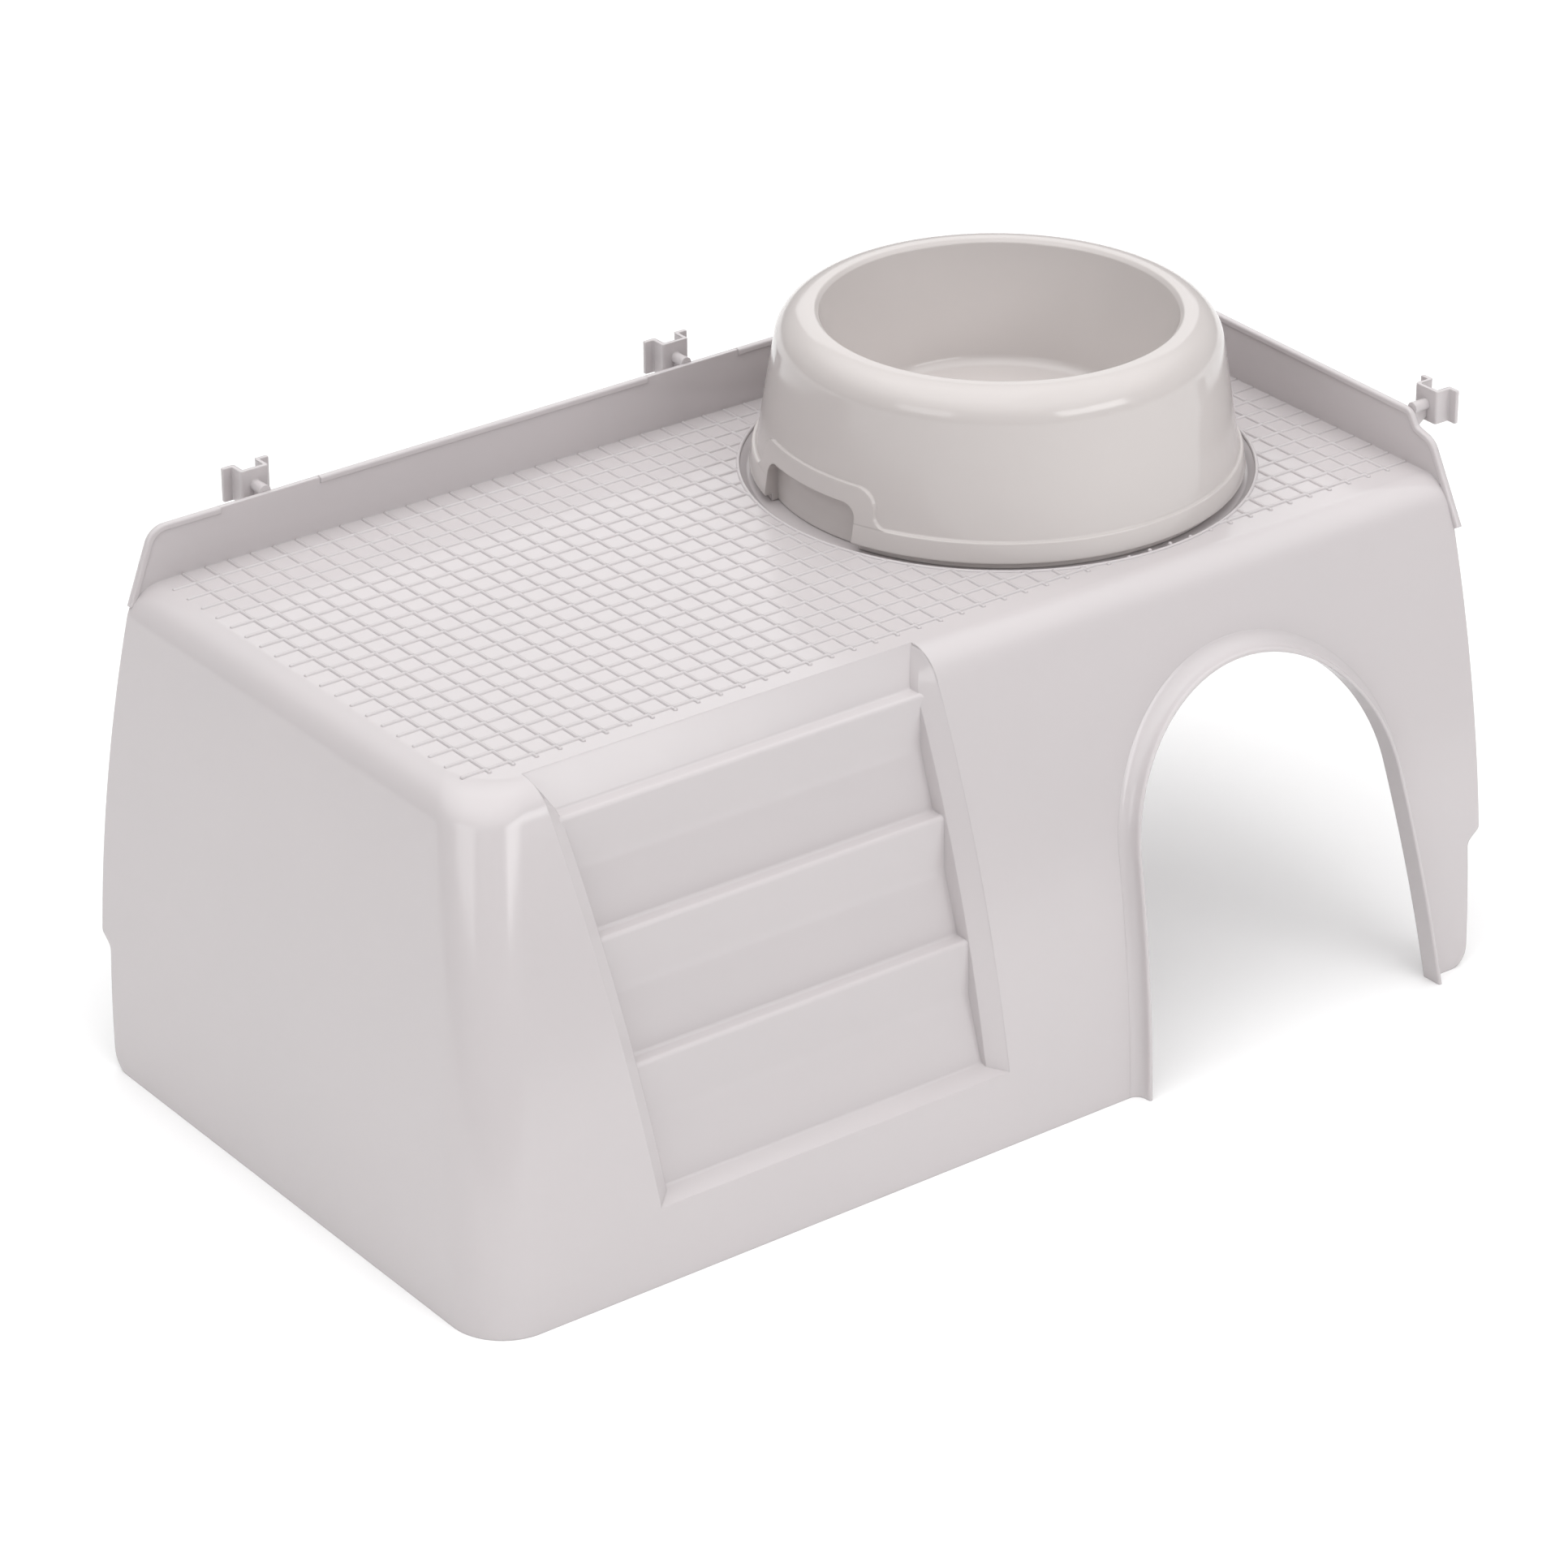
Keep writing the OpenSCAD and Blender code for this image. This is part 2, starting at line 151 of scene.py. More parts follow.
def make_mesh(
    name: str, verts: Iterable[Sequence[float]], faces: Iterable[Sequence[int]]
) -> bpy.types.Object:
    """Makes an object from points in millimetres, with its faces turned outward.

    Args:
        name: The object's name.
        verts: The points, in millimetres.
        faces: The faces, as lists of point numbers.

    Returns:
        The new object, linked to the scene.
    """
    mesh = bpy.data.meshes.new(name)
    mesh.from_pydata([tuple(c * MM for c in v) for v in verts], [], [list(f) for f in faces])
    bm = bmesh.new()
    bm.from_mesh(mesh)
    bmesh.ops.remove_doubles(bm, verts=bm.verts, dist=1e-7)
    bmesh.ops.recalc_face_normals(bm, faces=bm.faces)
    bm.to_mesh(mesh)
    bm.free()
    obj = bpy.data.objects.new(name, mesh)
    bpy.context.scene.collection.objects.link(obj)
    return obj


def loft(
    name: str, rings: Sequence[Sequence[Sequence[float]]], close_ends: bool = True
) -> bpy.types.Object:
    """Joins closed rings of equal length into one solid.

    Args:
        name: The object's name.
        rings: The rings, each a list of points in millimetres.
        close_ends: Whether the first and last rings are capped; otherwise they are joined.

    Returns:
        The new object.
    """
    size = len(rings[0])
    verts = [p for ring in rings for p in ring]
    count = len(rings)
    faces: list[list[int]] = []
    for i in range(count - 1 if close_ends else count):
        a, b = i * size, (i + 1) % count * size
        faces += [[a + j, a + (j + 1) % size, b + (j + 1) % size, b + j] for j in range(size)]
    if close_ends:
        faces.append(list(range(size)))
        faces.append([(count - 1) * size + j for j in range(size)])
    return make_mesh(name, verts, faces)


def prism(
    name: str, outline: Sequence[Point2], axis: Axis, start: float, stop: float
) -> bpy.types.Object:
    """Extrudes an outline along a horizontal axis.

    Args:
        name: The object's name.
        outline: The outline, as (distance along the other horizontal axis, height).
        axis: The axis to extrude along.
        start: Where the prism starts on that axis.
        stop: Where it stops.

    Returns:
        The new object.
    """
    if axis is Axis.X:
        rings = [[(at, a, z) for a, z in outline] for at in (start, stop)]
    else:
        rings = [[(a, at, z) for a, z in outline] for at in (start, stop)]
    return loft(name, rings)


def lathe(
    name: str, profile: Sequence[Point2], centre: Point2, base: float, segments: int
) -> bpy.types.Object:
    """Turns a closed profile about an upright axis.

    Args:
        name: The object's name.
        profile: The profile, as (radius, height above base).
        centre: The axis, as (x, y).
        base: The height that the profile is measured from.
        segments: The number of segments around.

    Returns:
        The new object.
    """
    rings = []
    for i in range(segments):
        t = 2 * math.pi * i / segments
        rings.append(
            [(centre[0] + r * math.cos(t), centre[1] + r * math.sin(t), base + z) for r, z in profile]
        )
    obj = loft(name, rings, close_ends=False)
    bm = bmesh.new()
    bm.from_mesh(obj.data)
    bmesh.ops.dissolve_degenerate(bm, edges=bm.edges, dist=1e-7)
    bmesh.ops.recalc_face_normals(bm, faces=bm.faces)
    bm.to_mesh(obj.data)
    bm.free()
    return obj


def carve(target: bpy.types.Object, tool: bpy.types.Object, cut: Cut) -> bpy.types.Object:
    """Applies a boolean and removes its tool.

    Args:
        target: The object to change.
        tool: The object to change it with.
        cut: What to do with the tool.

    Returns:
        The changed target.
    """
    modifier = target.modifiers.new("cut", "BOOLEAN")
    modifier.solver = "MANIFOLD"
    modifier.operation = cut.value
    modifier.object = tool
    bake(target)
    bpy.data.objects.remove(tool, do_unlink=True)
    if not target.data.polygons:
        raise RuntimeError(f"{target.name}: the {cut.value} left nothing")
    return target


def bake(obj: bpy.types.Object) -> None:
    """Applies an object's modifiers, which leaves it with a plain mesh.

    Args:
        obj: The object.
    """
    graph = bpy.context.evaluated_depsgraph_get()
    graph.update()
    mesh = bpy.data.meshes.new_from_object(obj.evaluated_get(graph))
    old = obj.data
    obj.modifiers.clear()
    obj.data = mesh
    bpy.data.meshes.remove(old)


def merge(name: str, parts: Sequence[bpy.types.Object]) -> bpy.types.Object:
    """Joins meshes into one object without fusing them.

    Args:
        name: The object's new name.
        parts: The objects to join.

    Returns:
        The joined object.
    """
    bm = bmesh.new()
    for part in parts:
        bm.from_mesh(part.data)
    mesh = bpy.data.meshes.new(name)
    bm.to_mesh(mesh)
    bm.free()
    for part in parts:
        bpy.data.objects.remove(part, do_unlink=True)
    obj = bpy.data.objects.new(name, mesh)
    bpy.context.scene.collection.objects.link(obj)
    return obj


def shade(obj: bpy.types.Object, angle: float) -> bpy.types.Object:
    """Smooths faces that meet at less than an angle, with normals weighted by face area.

    Args:
        obj: The object.
        angle: The angle above which an edge stays sharp, in degrees.

    Returns:
        The same object.
    """
    bm = bmesh.new()
    bm.from_mesh(obj.data)
    for f in bm.faces:
        f.smooth = True
    for e in bm.edges:
        e.smooth = len(e.link_faces) == 2 and e.calc_face_angle(0.0) < math.radians(angle)
    bm.to_mesh(obj.data)
    bm.free()
    modifier = obj.modifiers.new("weighted", "WEIGHTED_NORMAL")
    modifier.mode = "FACE_AREA"
    modifier.keep_sharp = True
    modifier.weight = 100
    return obj


def sweep(
    name: str,
    path: Sequence[Vector],
    sides: Sequence[Vector],
    up: Vector,
    section: Sequence[Point2],
) -> bpy.types.Object:
    """Moves a section along a path.

    Args:
        name: The object's name.
        path: The path's points, in millimetres.
        sides: The direction of the section's first axis at each point.
        up: The direction of the section's second axis.
        section: The section's closed outline.

    Returns:
        The new object.
    """
    rings = [[p + s * a + up * b for a, b in section] for p, s in zip(path, sides)]
    return loft(name, rings)


# --------------------------------------------------------------------------------------
# Materials
# --------------------------------------------------------------------------------------


def linear(colour: str) -> tuple[float, float, float, float]:
    """Turns an sRGB hex colour into linear values.

    Args:
        colour: The colour, such as "C8C2C3".

    Returns:
        Red, green, blue and alpha.
    """
    parts = [int(colour[i : i + 2], 16) / 255 for i in (0, 2, 4)]
    lin = [p / 12.92 if p <= 0.04045 else ((p + 0.055) / 1.055) ** 2.4 for p in parts]
    return lin[0], lin[1], lin[2], 1.0


Setting = float | int | str | tuple


def add_node(
    tree: bpy.types.NodeTree,
    kind: str,
    settings: dict[str, Setting] | None = None,
    values: dict[str | int, Setting] | None = None,
    links: dict[str | int, bpy.types.NodeSocket] | None = None,
) -> bpy.types.Node:
    """Adds one shader node with its settings, input values and input links.

    Args:
        tree: The node tree.
        kind: The node's type.
        settings: Properties of the node.
        values: Values for its inputs.
        links: Outputs of other nodes that feed its inputs.

    Returns:
        The new node.
    """
    node = tree.nodes.new(kind)
    for key, value in (settings or {}).items():
        setattr(node, key, value)
    for key, value in (values or {}).items():
        node.inputs[key].default_value = value
    for key, socket in (links or {}).items():
        tree.links.new(socket, node.inputs[key])
    return node


@dataclass(frozen=True)
class MouldedPlastic:
    """Injection-moulded polypropylene: even colour, soft gloss and a faint ripple.

    The light enters the surface a little, so edges look soft. Slow ripples bend reflections
    as they do on a thin moulded wall, and a fine grain keeps highlights from being mirror sharp.

    Attributes:
        name: The material's name.
        colour: The sRGB colour.
        shade: The sRGB colour of its slightly darker, cloudy areas.
        roughness: The mean roughness.
        cloud_mm: The size of the cloudy areas.
        haze_mm: The size of the duller and glossier patches.
        grain_mm: The size of the fine grain, drawn coarser than a real mould's so that it shows.
        grain_height_mm: The height of the fine grain.
        ripple_mm: The size of the slow ripples.
        ripple_height_mm: The height of the slow ripples.
        edge_mm: The radius of its moulded edges.
    """

    name: str
    colour: str
    shade: str
    roughness: float = 0.17
    cloud_mm: float = 90.0
    haze_mm: float = 14.0
    grain_mm: float = 0.9
    grain_height_mm: float = 0.004
    ripple_mm: float = 55.0
    ripple_height_mm: float = 0.05
    edge_mm: float = 0.7

    def build(self) -> bpy.types.Material:
        """Makes the material.

        Returns:
            The new material.
        """
        material = bpy.data.materials.new(self.name)
        material.use_nodes = True
        tree = material.node_tree
        tree.nodes.clear()
        place = add_node(tree, "ShaderNodeTexCoord").outputs["Object"]
        cloud = add_node(
            tree,
            "ShaderNodeTexNoise",
            values={"Scale": 1 / (self.cloud_mm * MM), "Detail": 3.0, "Roughness": 0.55},
            links={"Vector": place},
        )
        colour = add_node(
            tree,
            "ShaderNodeMix",
            {"data_type": "RGBA"},
            {6: linear(self.colour), 7: linear(self.shade)},
            {"Factor": cloud.outputs["Fac"]},
        )
        haze = add_node(
            tree,
            "ShaderNodeTexNoise",
            values={"Scale": 1 / (self.haze_mm * MM), "Detail": 4.0, "Roughness": 0.6},
            links={"Vector": place},
        )
        rough = add_node(
            tree,
            "ShaderNodeMapRange",
            values={"To Min": self.roughness - 0.035, "To Max": self.roughness + 0.045},
            links={"Value": haze.outputs["Fac"]},
        )
        edge = add_node(
            tree, "ShaderNodeBevel", {"samples": 6}, {"Radius": self.edge_mm * MM}
        )
        ripple = add_node(
            tree,
            "ShaderNodeTexNoise",
            values={"Scale": 1 / (self.ripple_mm * MM), "Detail": 1.0},
            links={"Vector": place},
        )
        slow = add_node(
            tree,
            "ShaderNodeBump",
            values={"Strength": 1.0, "Distance": self.ripple_height_mm * MM},
            links={"Height": ripple.outputs["Fac"], "Normal": edge.outputs["Normal"]},
        )
        grain = add_node(
            tree,
            "ShaderNodeTexNoise",
            values={"Scale": 1 / (self.grain_mm * MM), "Detail": 2.0},
            links={"Vector": place},
        )
        fine = add_node(
            tree,
            "ShaderNodeBump",
            values={"Strength": 0.25, "Distance": self.grain_height_mm * MM},
            links={"Height": grain.outputs["Fac"], "Normal": slow.outputs["Normal"]},
        )
        surface = add_node(
            tree,
            "ShaderNodeBsdfPrincipled",
            values={
                "IOR": 1.49,
                "Metallic": 0.0,
                "Subsurface Weight": 0.12,
                "Subsurface Radius": (1.0, 0.92, 0.88),
                "Subsurface Scale": 2.0 * MM,
            },
            links={
                "Base Color": colour.outputs[2],
                "Roughness": rough.outputs["Result"],
                "Normal": fine.outputs["Normal"],
            },
        )
        add_node(
            tree, "ShaderNodeOutputMaterial", links={"Surface": surface.outputs["BSDF"]}
        )
        return material


@dataclass(frozen=True)
class StudioPaper:
    """Matt white background paper.

    Attributes:
        name: The material's name.
        colour: The sRGB colour.
        fibre_mm: The size of the paper's fibres, drawn coarser than real ones so that they show.
        fibre_height_mm: The height of the fibres.
    """

    name: str = "studio_paper"
    colour: str = "FAFAFA"
    fibre_mm: float = 2.0
    fibre_height_mm: float = 0.02

    def build(self) -> bpy.types.Material:
        """Makes the material.

        Returns:
            The new material.
        """
        material = bpy.data.materials.new(self.name)
        material.use_nodes = True
        tree = material.node_tree
        tree.nodes.clear()
        place = add_node(tree, "ShaderNodeTexCoord").outputs["Object"]
        fibre = add_node(
            tree,
            "ShaderNodeTexNoise",
            values={"Scale": 1 / (self.fibre_mm * MM), "Detail": 3.0},
            links={"Vector": place},
        )
        bump = add_node(
            tree,
            "ShaderNodeBump",
            values={"Strength": 0.2, "Distance": self.fibre_height_mm * MM},
            links={"Height": fibre.outputs["Fac"]},
        )
        surface = add_node(
            tree,
            "ShaderNodeBsdfPrincipled",
            values={"Base Color": linear(self.colour), "Roughness": 0.9},
            links={"Normal": bump.outputs["Normal"]},
        )
        add_node(
            tree, "ShaderNodeOutputMaterial", links={"Surface": surface.outputs["BSDF"]}
        )
        return material


@dataclass
class Finishes:
    """The materials of the scene.

    Attributes:
        shell: The house's plastic.
        bowl: The bowl's plastic, a hair paler and glossier.
        paper: The floor.
    """

    shell: bpy.types.Material = field(init=False)
    bowl: bpy.types.Material = field(init=False)
    paper: bpy.types.Material = field(init=False)

    def __post_init__(self) -> None:
        """Builds the materials."""
        self.shell = MouldedPlastic("polypropylene_warm_grey", "C8C2C3", "C4BFC0").build()
        self.bowl = MouldedPlastic(
            "polypropylene_pale_grey", "CAC4C2", "C7C1BF", roughness=0.12, edge_mm=0.8
        ).build()
        self.paper = StudioPaper().build()


def finish(
    obj: bpy.types.Object, material: bpy.types.Material, body: Body
) -> None:
    """Gives a piece its material and the body that it rides on.

    Args:
        obj: The piece.
        material: Its material.
        body: The body.
    """
    obj.data.materials.clear()
    obj.data.materials.append(material)
    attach(obj, body.value)
    LOG.info("%s rides on %s", obj.name, body.value)


# --------------------------------------------------------------------------------------
# The frame's sizes
# --------------------------------------------------------------------------------------


def opening(name: str) -> tuple[Vector, Vector]:
    """Reads the box of one of the record's openings.

    Args:
        name: The opening's name.

    Returns:
        Its lowest and highest corners, in millimetres.
    """
    for entry in frame["record"]["physics"]["openings"]:
        if entry["name"] == name:
            low, high = entry["box_m"]
            return Vector(low) / MM, Vector(high) / MM
    raise KeyError(name)


def mount(name: str) -> Vector:
    """Reads the place of one of the record's mounts.

    Args:
        name: The mount's name.

    Returns:
        Its position, in millimetres.
    """
    for entry in frame["record"]["mounts"]:
        if entry["name"] == name:
            return Vector(entry["pos_m"]) / MM
    raise KeyError(name)


def node_box(name: str) -> tuple[Vector, Vector]:
    """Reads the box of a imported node.

    Args:
        name: The node's name.

    Returns:
        Its lowest and highest corners, in millimetres.
    """
    low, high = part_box(name)
    return low / MM, high / MM


@dataclass(frozen=True)
class Wall:
    """The profile of a wall: a tight shoulder below the deck, then one long slow curve.

    Attributes:
        height: The deck's height.
        shoulder: The shoulder's radius.
        top: The lean just below the shoulder, in degrees.
        foot: The lean at the floor, in degrees.
    """

    height: float
    shoulder: float
    top: float
    foot: float

    def run(self, drop: float, grow: float = 0.0) -> float:
        """Finds how far the wall's face stands out from the deck's edge.

        Args:
            drop: The distance below the deck.
            grow: How far the face is moved outward.

        Returns:
            The outward distance.
        """
        top, foot = math.sin(math.radians(self.top)), math.sin(math.radians(self.foot))
        cos_top = math.cos(math.radians(self.top))
        big = (self.height - self.shoulder * (1 - top)) / (top - foot) + grow
        r = self.shoulder + grow
        d = max(drop + grow, 0.0)
        turn = r * (1 - top)
        if d < turn:
            s = 1 - d / r
            return r * math.sqrt(max(0.0, 1 - s * s))
        s = top - (d - turn) / big
        return r * cos_top + big * (math.sqrt(1 - s * s) - cos_top)


@dataclass(frozen=True)
class HouseSizes:
    """Sizes of the house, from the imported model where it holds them.

    Attributes:
        left: The left foot's face.
        right: The right lip's face.
        front: The front foot's face.
        back: The back lip's face.
        deck: The deck's height.
        bowl: The bowl's axis.
        door_x: The middle of the doorway.
        step_x: The middle of the steps.
        collar_reach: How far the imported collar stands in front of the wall's foot.
        step_centre: The distance from the left foot to the middle of the steps.
    """

    left: float
    right: float
    front: float
    back: float
    deck: float
    bowl: Point2
    door_x: float
    step_x: float
    collar_reach: float = 6.5
    collar_out: float = 6.4
    collar_wall: float = 1.8
    collar_fillet: float = 4.5
    wall: float = 2.4
    deck_wall: float = 1.6
    corner_r: float = 22.0
    lip_height: float = 22.0
    lip_rise: float = 3.0
    lip_wall: float = 2.0
    bead_height: float = 2.4
    bead_proud: float = 0.55
    edge_lean: float = 7.3
    notch_height: float = 50.0
    notch_depth: float = 6.0
    step_centre: float = 151.0
    step_width: float = 172.0
    step_taper: float = 14.0
    step_drift: float = 6.0
    first_rise: float = 14.0
    step_rise: float = 43.0
    rise_change: float = 2.0
    tread: float = 6.0
    first_run: float = 7.0
    step_run: float = 9.2
    crease: float = 0.47
    crease_lean: float = 3.5
    ledge_slope: float = 18.0
    door_r: float = 64.0
    door_spring: float = 83.0
    door_flare: float = 5.5
    seat_r: float = 100.5
    seat_depth: float = 2.5
    seat_slope: float = 3.4
    seat_rib: float = 1.5
    rib_pitch: float = 10.0
    rib_width: float = 1.4
    rib_height: float = 0.7
    rib_side: float = 13.4
    rib_back: float = 12.0

    @classmethod
    def from_frame(cls) -> HouseSizes:
        """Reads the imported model.

        Returns:
            The sizes.
        """
        low, high = node_box("house_shell")
        dish_low, dish_high = opening("bowl dish")
        door_low, door_high = opening("doorway")
        dish = (dish_low + dish_high) / 2
        return cls(
            left=low.x,
            right=high.x,
            front=low.y + cls.collar_reach,
            back=high.y,
            deck=high.z - (cls.lip_height + cls.lip_rise),
            bowl=(dish.x, dish.y),
            door_x=(door_low.x + door_high.x) / 2,
            step_x=low.x + cls.step_centre,
        )

    @property
    def side_wall(self) -> Wall:
        """The left wall's profile."""
        return Wall(self.deck, 16.0, 18.6, 2.9)

    @property
    def front_wall(self) -> Wall:
        """The front wall's profile."""
        return Wall(self.deck, 16.0, 25.0, 8.3)

    @property
    def deck_x(self) -> float:
        """Where the deck's left edge starts to turn down."""
        return self.left + self.side_wall.run(self.deck)

    @property
    def deck_y(self) -> float:
        """Where the deck's front edge starts to turn down."""
        return self.front + self.front_wall.run(self.deck)

    def tread_edge(self, n: int) -> Point2:
        """Places the front edge of a tread.

        Args:
            n: The tread, counted from the deck.

        Returns:
            The edge as (y, z).
        """
        y = self.deck_y - self.first_run - self.tread - n * (self.step_run + self.tread)
        z = self.deck - self.first_rise - n * self.step_rise - n * (n - 1) / 2 * self.rise_change
        return y, z

    def face_x(self, z: float, grow: float = 0.0) -> float:
        """Finds the left wall's face at a height.

        Args:
            z: The height.
            grow: How far the face is moved outward.

        Returns:
            The x of the face.
        """
        return self.deck_x - self.side_wall.run(self.deck - z, grow)

    def face_y(self, z: float, grow: float = 0.0) -> float:
        """Finds the front wall's face at a height.

        Args:
            z: The height.
            grow: How far the face is moved outward.

        Returns:
            The y of the face.
        """
        return self.deck_y - self.front_wall.run(self.deck - z, grow)


# --------------------------------------------------------------------------------------
# The house
# --------------------------------------------------------------------------------------


@dataclass
class House:
    """The moulded shell with its collar, lips, ribs and seat.

    Attributes:
        sizes: The house's sizes.
        finishes: The scene's materials.
        past: How far a working solid reaches past the part that it shapes.
    """

    sizes: HouseSizes
    finishes: Finishes
    past: float = 20.0

    def block(self, name: str, grow: float, top: float) -> bpy.types.Object:
        """Makes the solid inside the walls' faces.

        Args:
            name: The object's name.
            grow: How far the walls' faces are moved outward.
            top: How far the deck is moved upward.

        Returns:
            The solid, open-ended past the cage sides.
        """
        s = self.sizes
        levels, turns, crowding, below_floor = 72, 28, 1.9, 2.0
        right, back = s.right + self.past, s.back + self.past
        rings = []
        for i in range(levels + 1):
            z = (s.deck + top) * (1 - (i / levels) ** crowding)
            x, y, r = s.face_x(z, grow), s.face_y(z, grow), s.corner_r + grow
            ring = [(right, y, z)]
            for j in range(turns + 1):
                t = -math.pi / 2 - math.pi / 2 * j / turns
                ring.append((x + r + r * math.cos(t), y + r + r * math.sin(t), z))
            ring += [(x, back, z), (right, back, z)]
            rings.append(ring)
        rings.append([(x, y, -below_floor) for x, y, _ in rings[-1]])
        return loft(name, rings)

    def step_space(self, grow: float) -> bpy.types.Object:
        """Makes the space in front of the steps.

        Args:
            grow: How far its sides and back are moved into the house.

        Returns:
            The solid to cut with.
        """
        s = self.sizes
        nose, root, bend_r, spare = 1.8, 1.6, 18.0, 9.0
        corners: list[Corner] = [
            (s.deck_y + 1 + grow, s.deck + self.past, 0),
            (s.deck_y + 1 + grow, s.deck - grow, nose),
            (s.deck_y - s.first_run + grow, s.deck - s.first_rise - grow, root),
        ]
        for n in range(3):
            y, z = s.tread_edge(n)
            low = s.tread_edge(n + 1)[1]
            fall = (z - low) * s.crease
            bend = y - fall * math.tan(math.radians(s.crease_lean))
            corners += [
                (y + grow, z - grow, nose),
                (bend + grow, z - fall - grow, bend_r),
                (y - s.step_run + grow, low - grow, root),
            ]
        y, z = corners[-1][0], corners[-1][1]
        out = s.front - self.past
        corners += [
            (out, z - (y - out) * math.tan(math.radians(s.ledge_slope)), 0),
            (out, s.deck + self.past, 0),
        ]
        half = s.step_width / 2 + grow
        foot = half - s.step_taper / 2
        low_x = s.step_x + s.step_drift
        reach = half + spare
        body = prism("steps", rounded(corners), Axis.X, s.step_x - reach, s.step_x + reach)
        sides = [
            (s.step_x - half, s.deck + self.past + 1),
            (s.step_x - half, s.deck),
            (low_x - foot, z),
            (low_x - foot, -1),
            (low_x + foot, -1),
            (low_x + foot, z),
            (s.step_x + half, s.deck),
            (s.step_x + half, s.deck + self.past + 1),
        ]
        wedge = prism("step_sides", sides, Axis.Y, out - 1, s.back)
        return carve(body, wedge, Cut.KEEP)

    def cheek(self, side: int) -> bpy.types.Object:
        """Makes the splayed cheek at one end of the step recess.

        Args:
            side: Which end, -1 for the left one and 1 for the right one.

        Returns:
            The solid to add.
        """
        s = self.sizes
        levels, overlap = 32, 0.4
        section = [(0.0, 0.1), (-6.6, 5.4), (-7.6, 18.0), (3.0, 18.0), (3.0, 1.2)]
        foot_z = s.tread_edge(3)[1]
        start, stop = s.deck - 1.0, foot_z - 14.0
        rings = []
        for i in range(levels + 1):
            z = start + (stop - start) * i / levels
            share = min((s.deck - z) / (s.deck - foot_z), 1.0)
            grown = min((s.deck - z) / s.first_rise, 1.0)
            half = s.step_width / 2 - s.step_taper / 2 * share
            x = s.step_x + s.step_drift * share + side * half
            y = s.face_y(z)
            rings.append([(x + side * a * (grown if a < 0 else 1.0), y + b, z) for a, b in section])
        return carve(loft("cheek", rings), self.step_space(overlap), Cut.KEEP)

    def seat_space(self, grow: float) -> bpy.types.Object:
        """Makes the space of the bowl's seat.

        Args:
            grow: How far its wall and floor are moved outward.

        Returns:
            The solid to cut with.
        """
        s = self.sizes
        profile = rounded(
            [
                (0, -s.seat_depth - grow, 0),
                (s.seat_r - s.seat_slope + grow, -s.seat_depth - grow, 1.2),
                (s.seat_r + grow, 0, 0),
                (s.seat_r + grow, 1, 0),
                (0, 1, 0),
            ]
        )
        return lathe("seat", profile, s.bowl, s.deck, 160)

    def edge_outline(self, near: float, far: float) -> list[Point2]:
        """Makes the outline of what stays inside an open edge.

        Args:
            near: A distance well past the other wall.
            far: The distance of the lip's face.

        Returns:
            The outline, in (distance, height).
        """
        s = self.sizes
        lean = math.tan(math.radians(s.edge_lean))
        ramp = 2.0
        low, high = s.notch_height - ramp, s.notch_height + ramp
        return rounded(
            [
                (near, 0, 0),
                (far - s.deck * lean - s.notch_depth, 0, 9),
                (far - (s.deck - low) * lean - s.notch_depth, low, 4),
                (far - (s.deck - high) * lean, high, 2.5),
                (far, s.deck, 0),
                (far, s.deck + self.past, 0),
                (near, s.deck + self.past, 0),
            ]
        )

    def door_path(self) -> tuple[list[Point2], list[Point2]]:
        """Follows the doorway from its right foot over the arch to its left foot.

        Returns:
            The points in (x, z), and the outward direction at each.
        """
        s = self.sizes
        flare = math.radians(s.door_flare)
        top = s.door_spring + s.door_r * math.sin(flare)
        half = s.door_r * math.cos(flare)
        points: list[Point2] = []
        outward: list[Point2] = []
        count = 20
        for i in range(count):
            z = top * i / count
            t = flare * i / count
            points.append((half + (top - z) * math.tan(flare), z))
            outward.append((math.cos(t), math.sin(t)))
        turns = 72
        for i in range(turns + 1):
            t = flare + (math.pi - 2 * flare) * i / turns
            points.append((s.door_r * math.cos(t), s.door_spring + s.door_r * math.sin(t)))
            outward.append((math.cos(t), math.sin(t)))
        for (x, z), (a, b) in zip(points[count - 1 :: -1], outward[count - 1 :: -1]):
            points.append((-x, z))
            outward.append((-a, b))
        return [(s.door_x + x, z) for x, z in points], outward

    def door_space(self, grow: float) -> bpy.types.Object:
        """Makes the space of the doorway.

        Args:
            grow: How far its outline is moved outward.

        Returns:
            The solid to cut with.
        """
        s = self.sizes
        points, outward = self.door_path()
        outline = [(x + a * grow, z + b * grow) for (x, z), (a, b) in zip(points, outward)]
        below_floor, inward = -4.0, 40.0
        outline = [(outline[0][0], below_floor), *outline, (outline[-1][0], below_floor)]
        return prism("door", outline, Axis.Y, s.front - self.past, s.deck_y + inward)

    def collar(self) -> bpy.types.Object:
        """Makes the collar around the doorway, with a fillet onto the wall.

        Returns:
            The collar.
        """
        s = self.sizes
        tip, fillet, thick = 0.85, s.collar_fillet, s.collar_wall
        section: list[Point2] = [(0.0, -s.wall)]
        for i in range(9):
            t = math.pi - math.pi * i / 8
            section.append((tip + 0.05 + tip * math.cos(t), s.collar_out - tip + tip * math.sin(t)))
        for i in range(9):
            t = math.pi + math.pi / 2 * i / 8
            out = fillet + fillet * math.sin(t) - 0.03
            section.append((thick + fillet + fillet * math.cos(t), out))
        section.append((thick, -s.wall))
        points, outward = self.door_path()
        rings = []
        for (x, z), (a, b) in zip(points, outward):
            ring = []
            for d, out in section:
                px, pz = x + a * d, z + b * d
                ring.append((px, s.face_y(pz, out), pz))
            rings.append(ring)
        return loft("doorway_collar", rings)

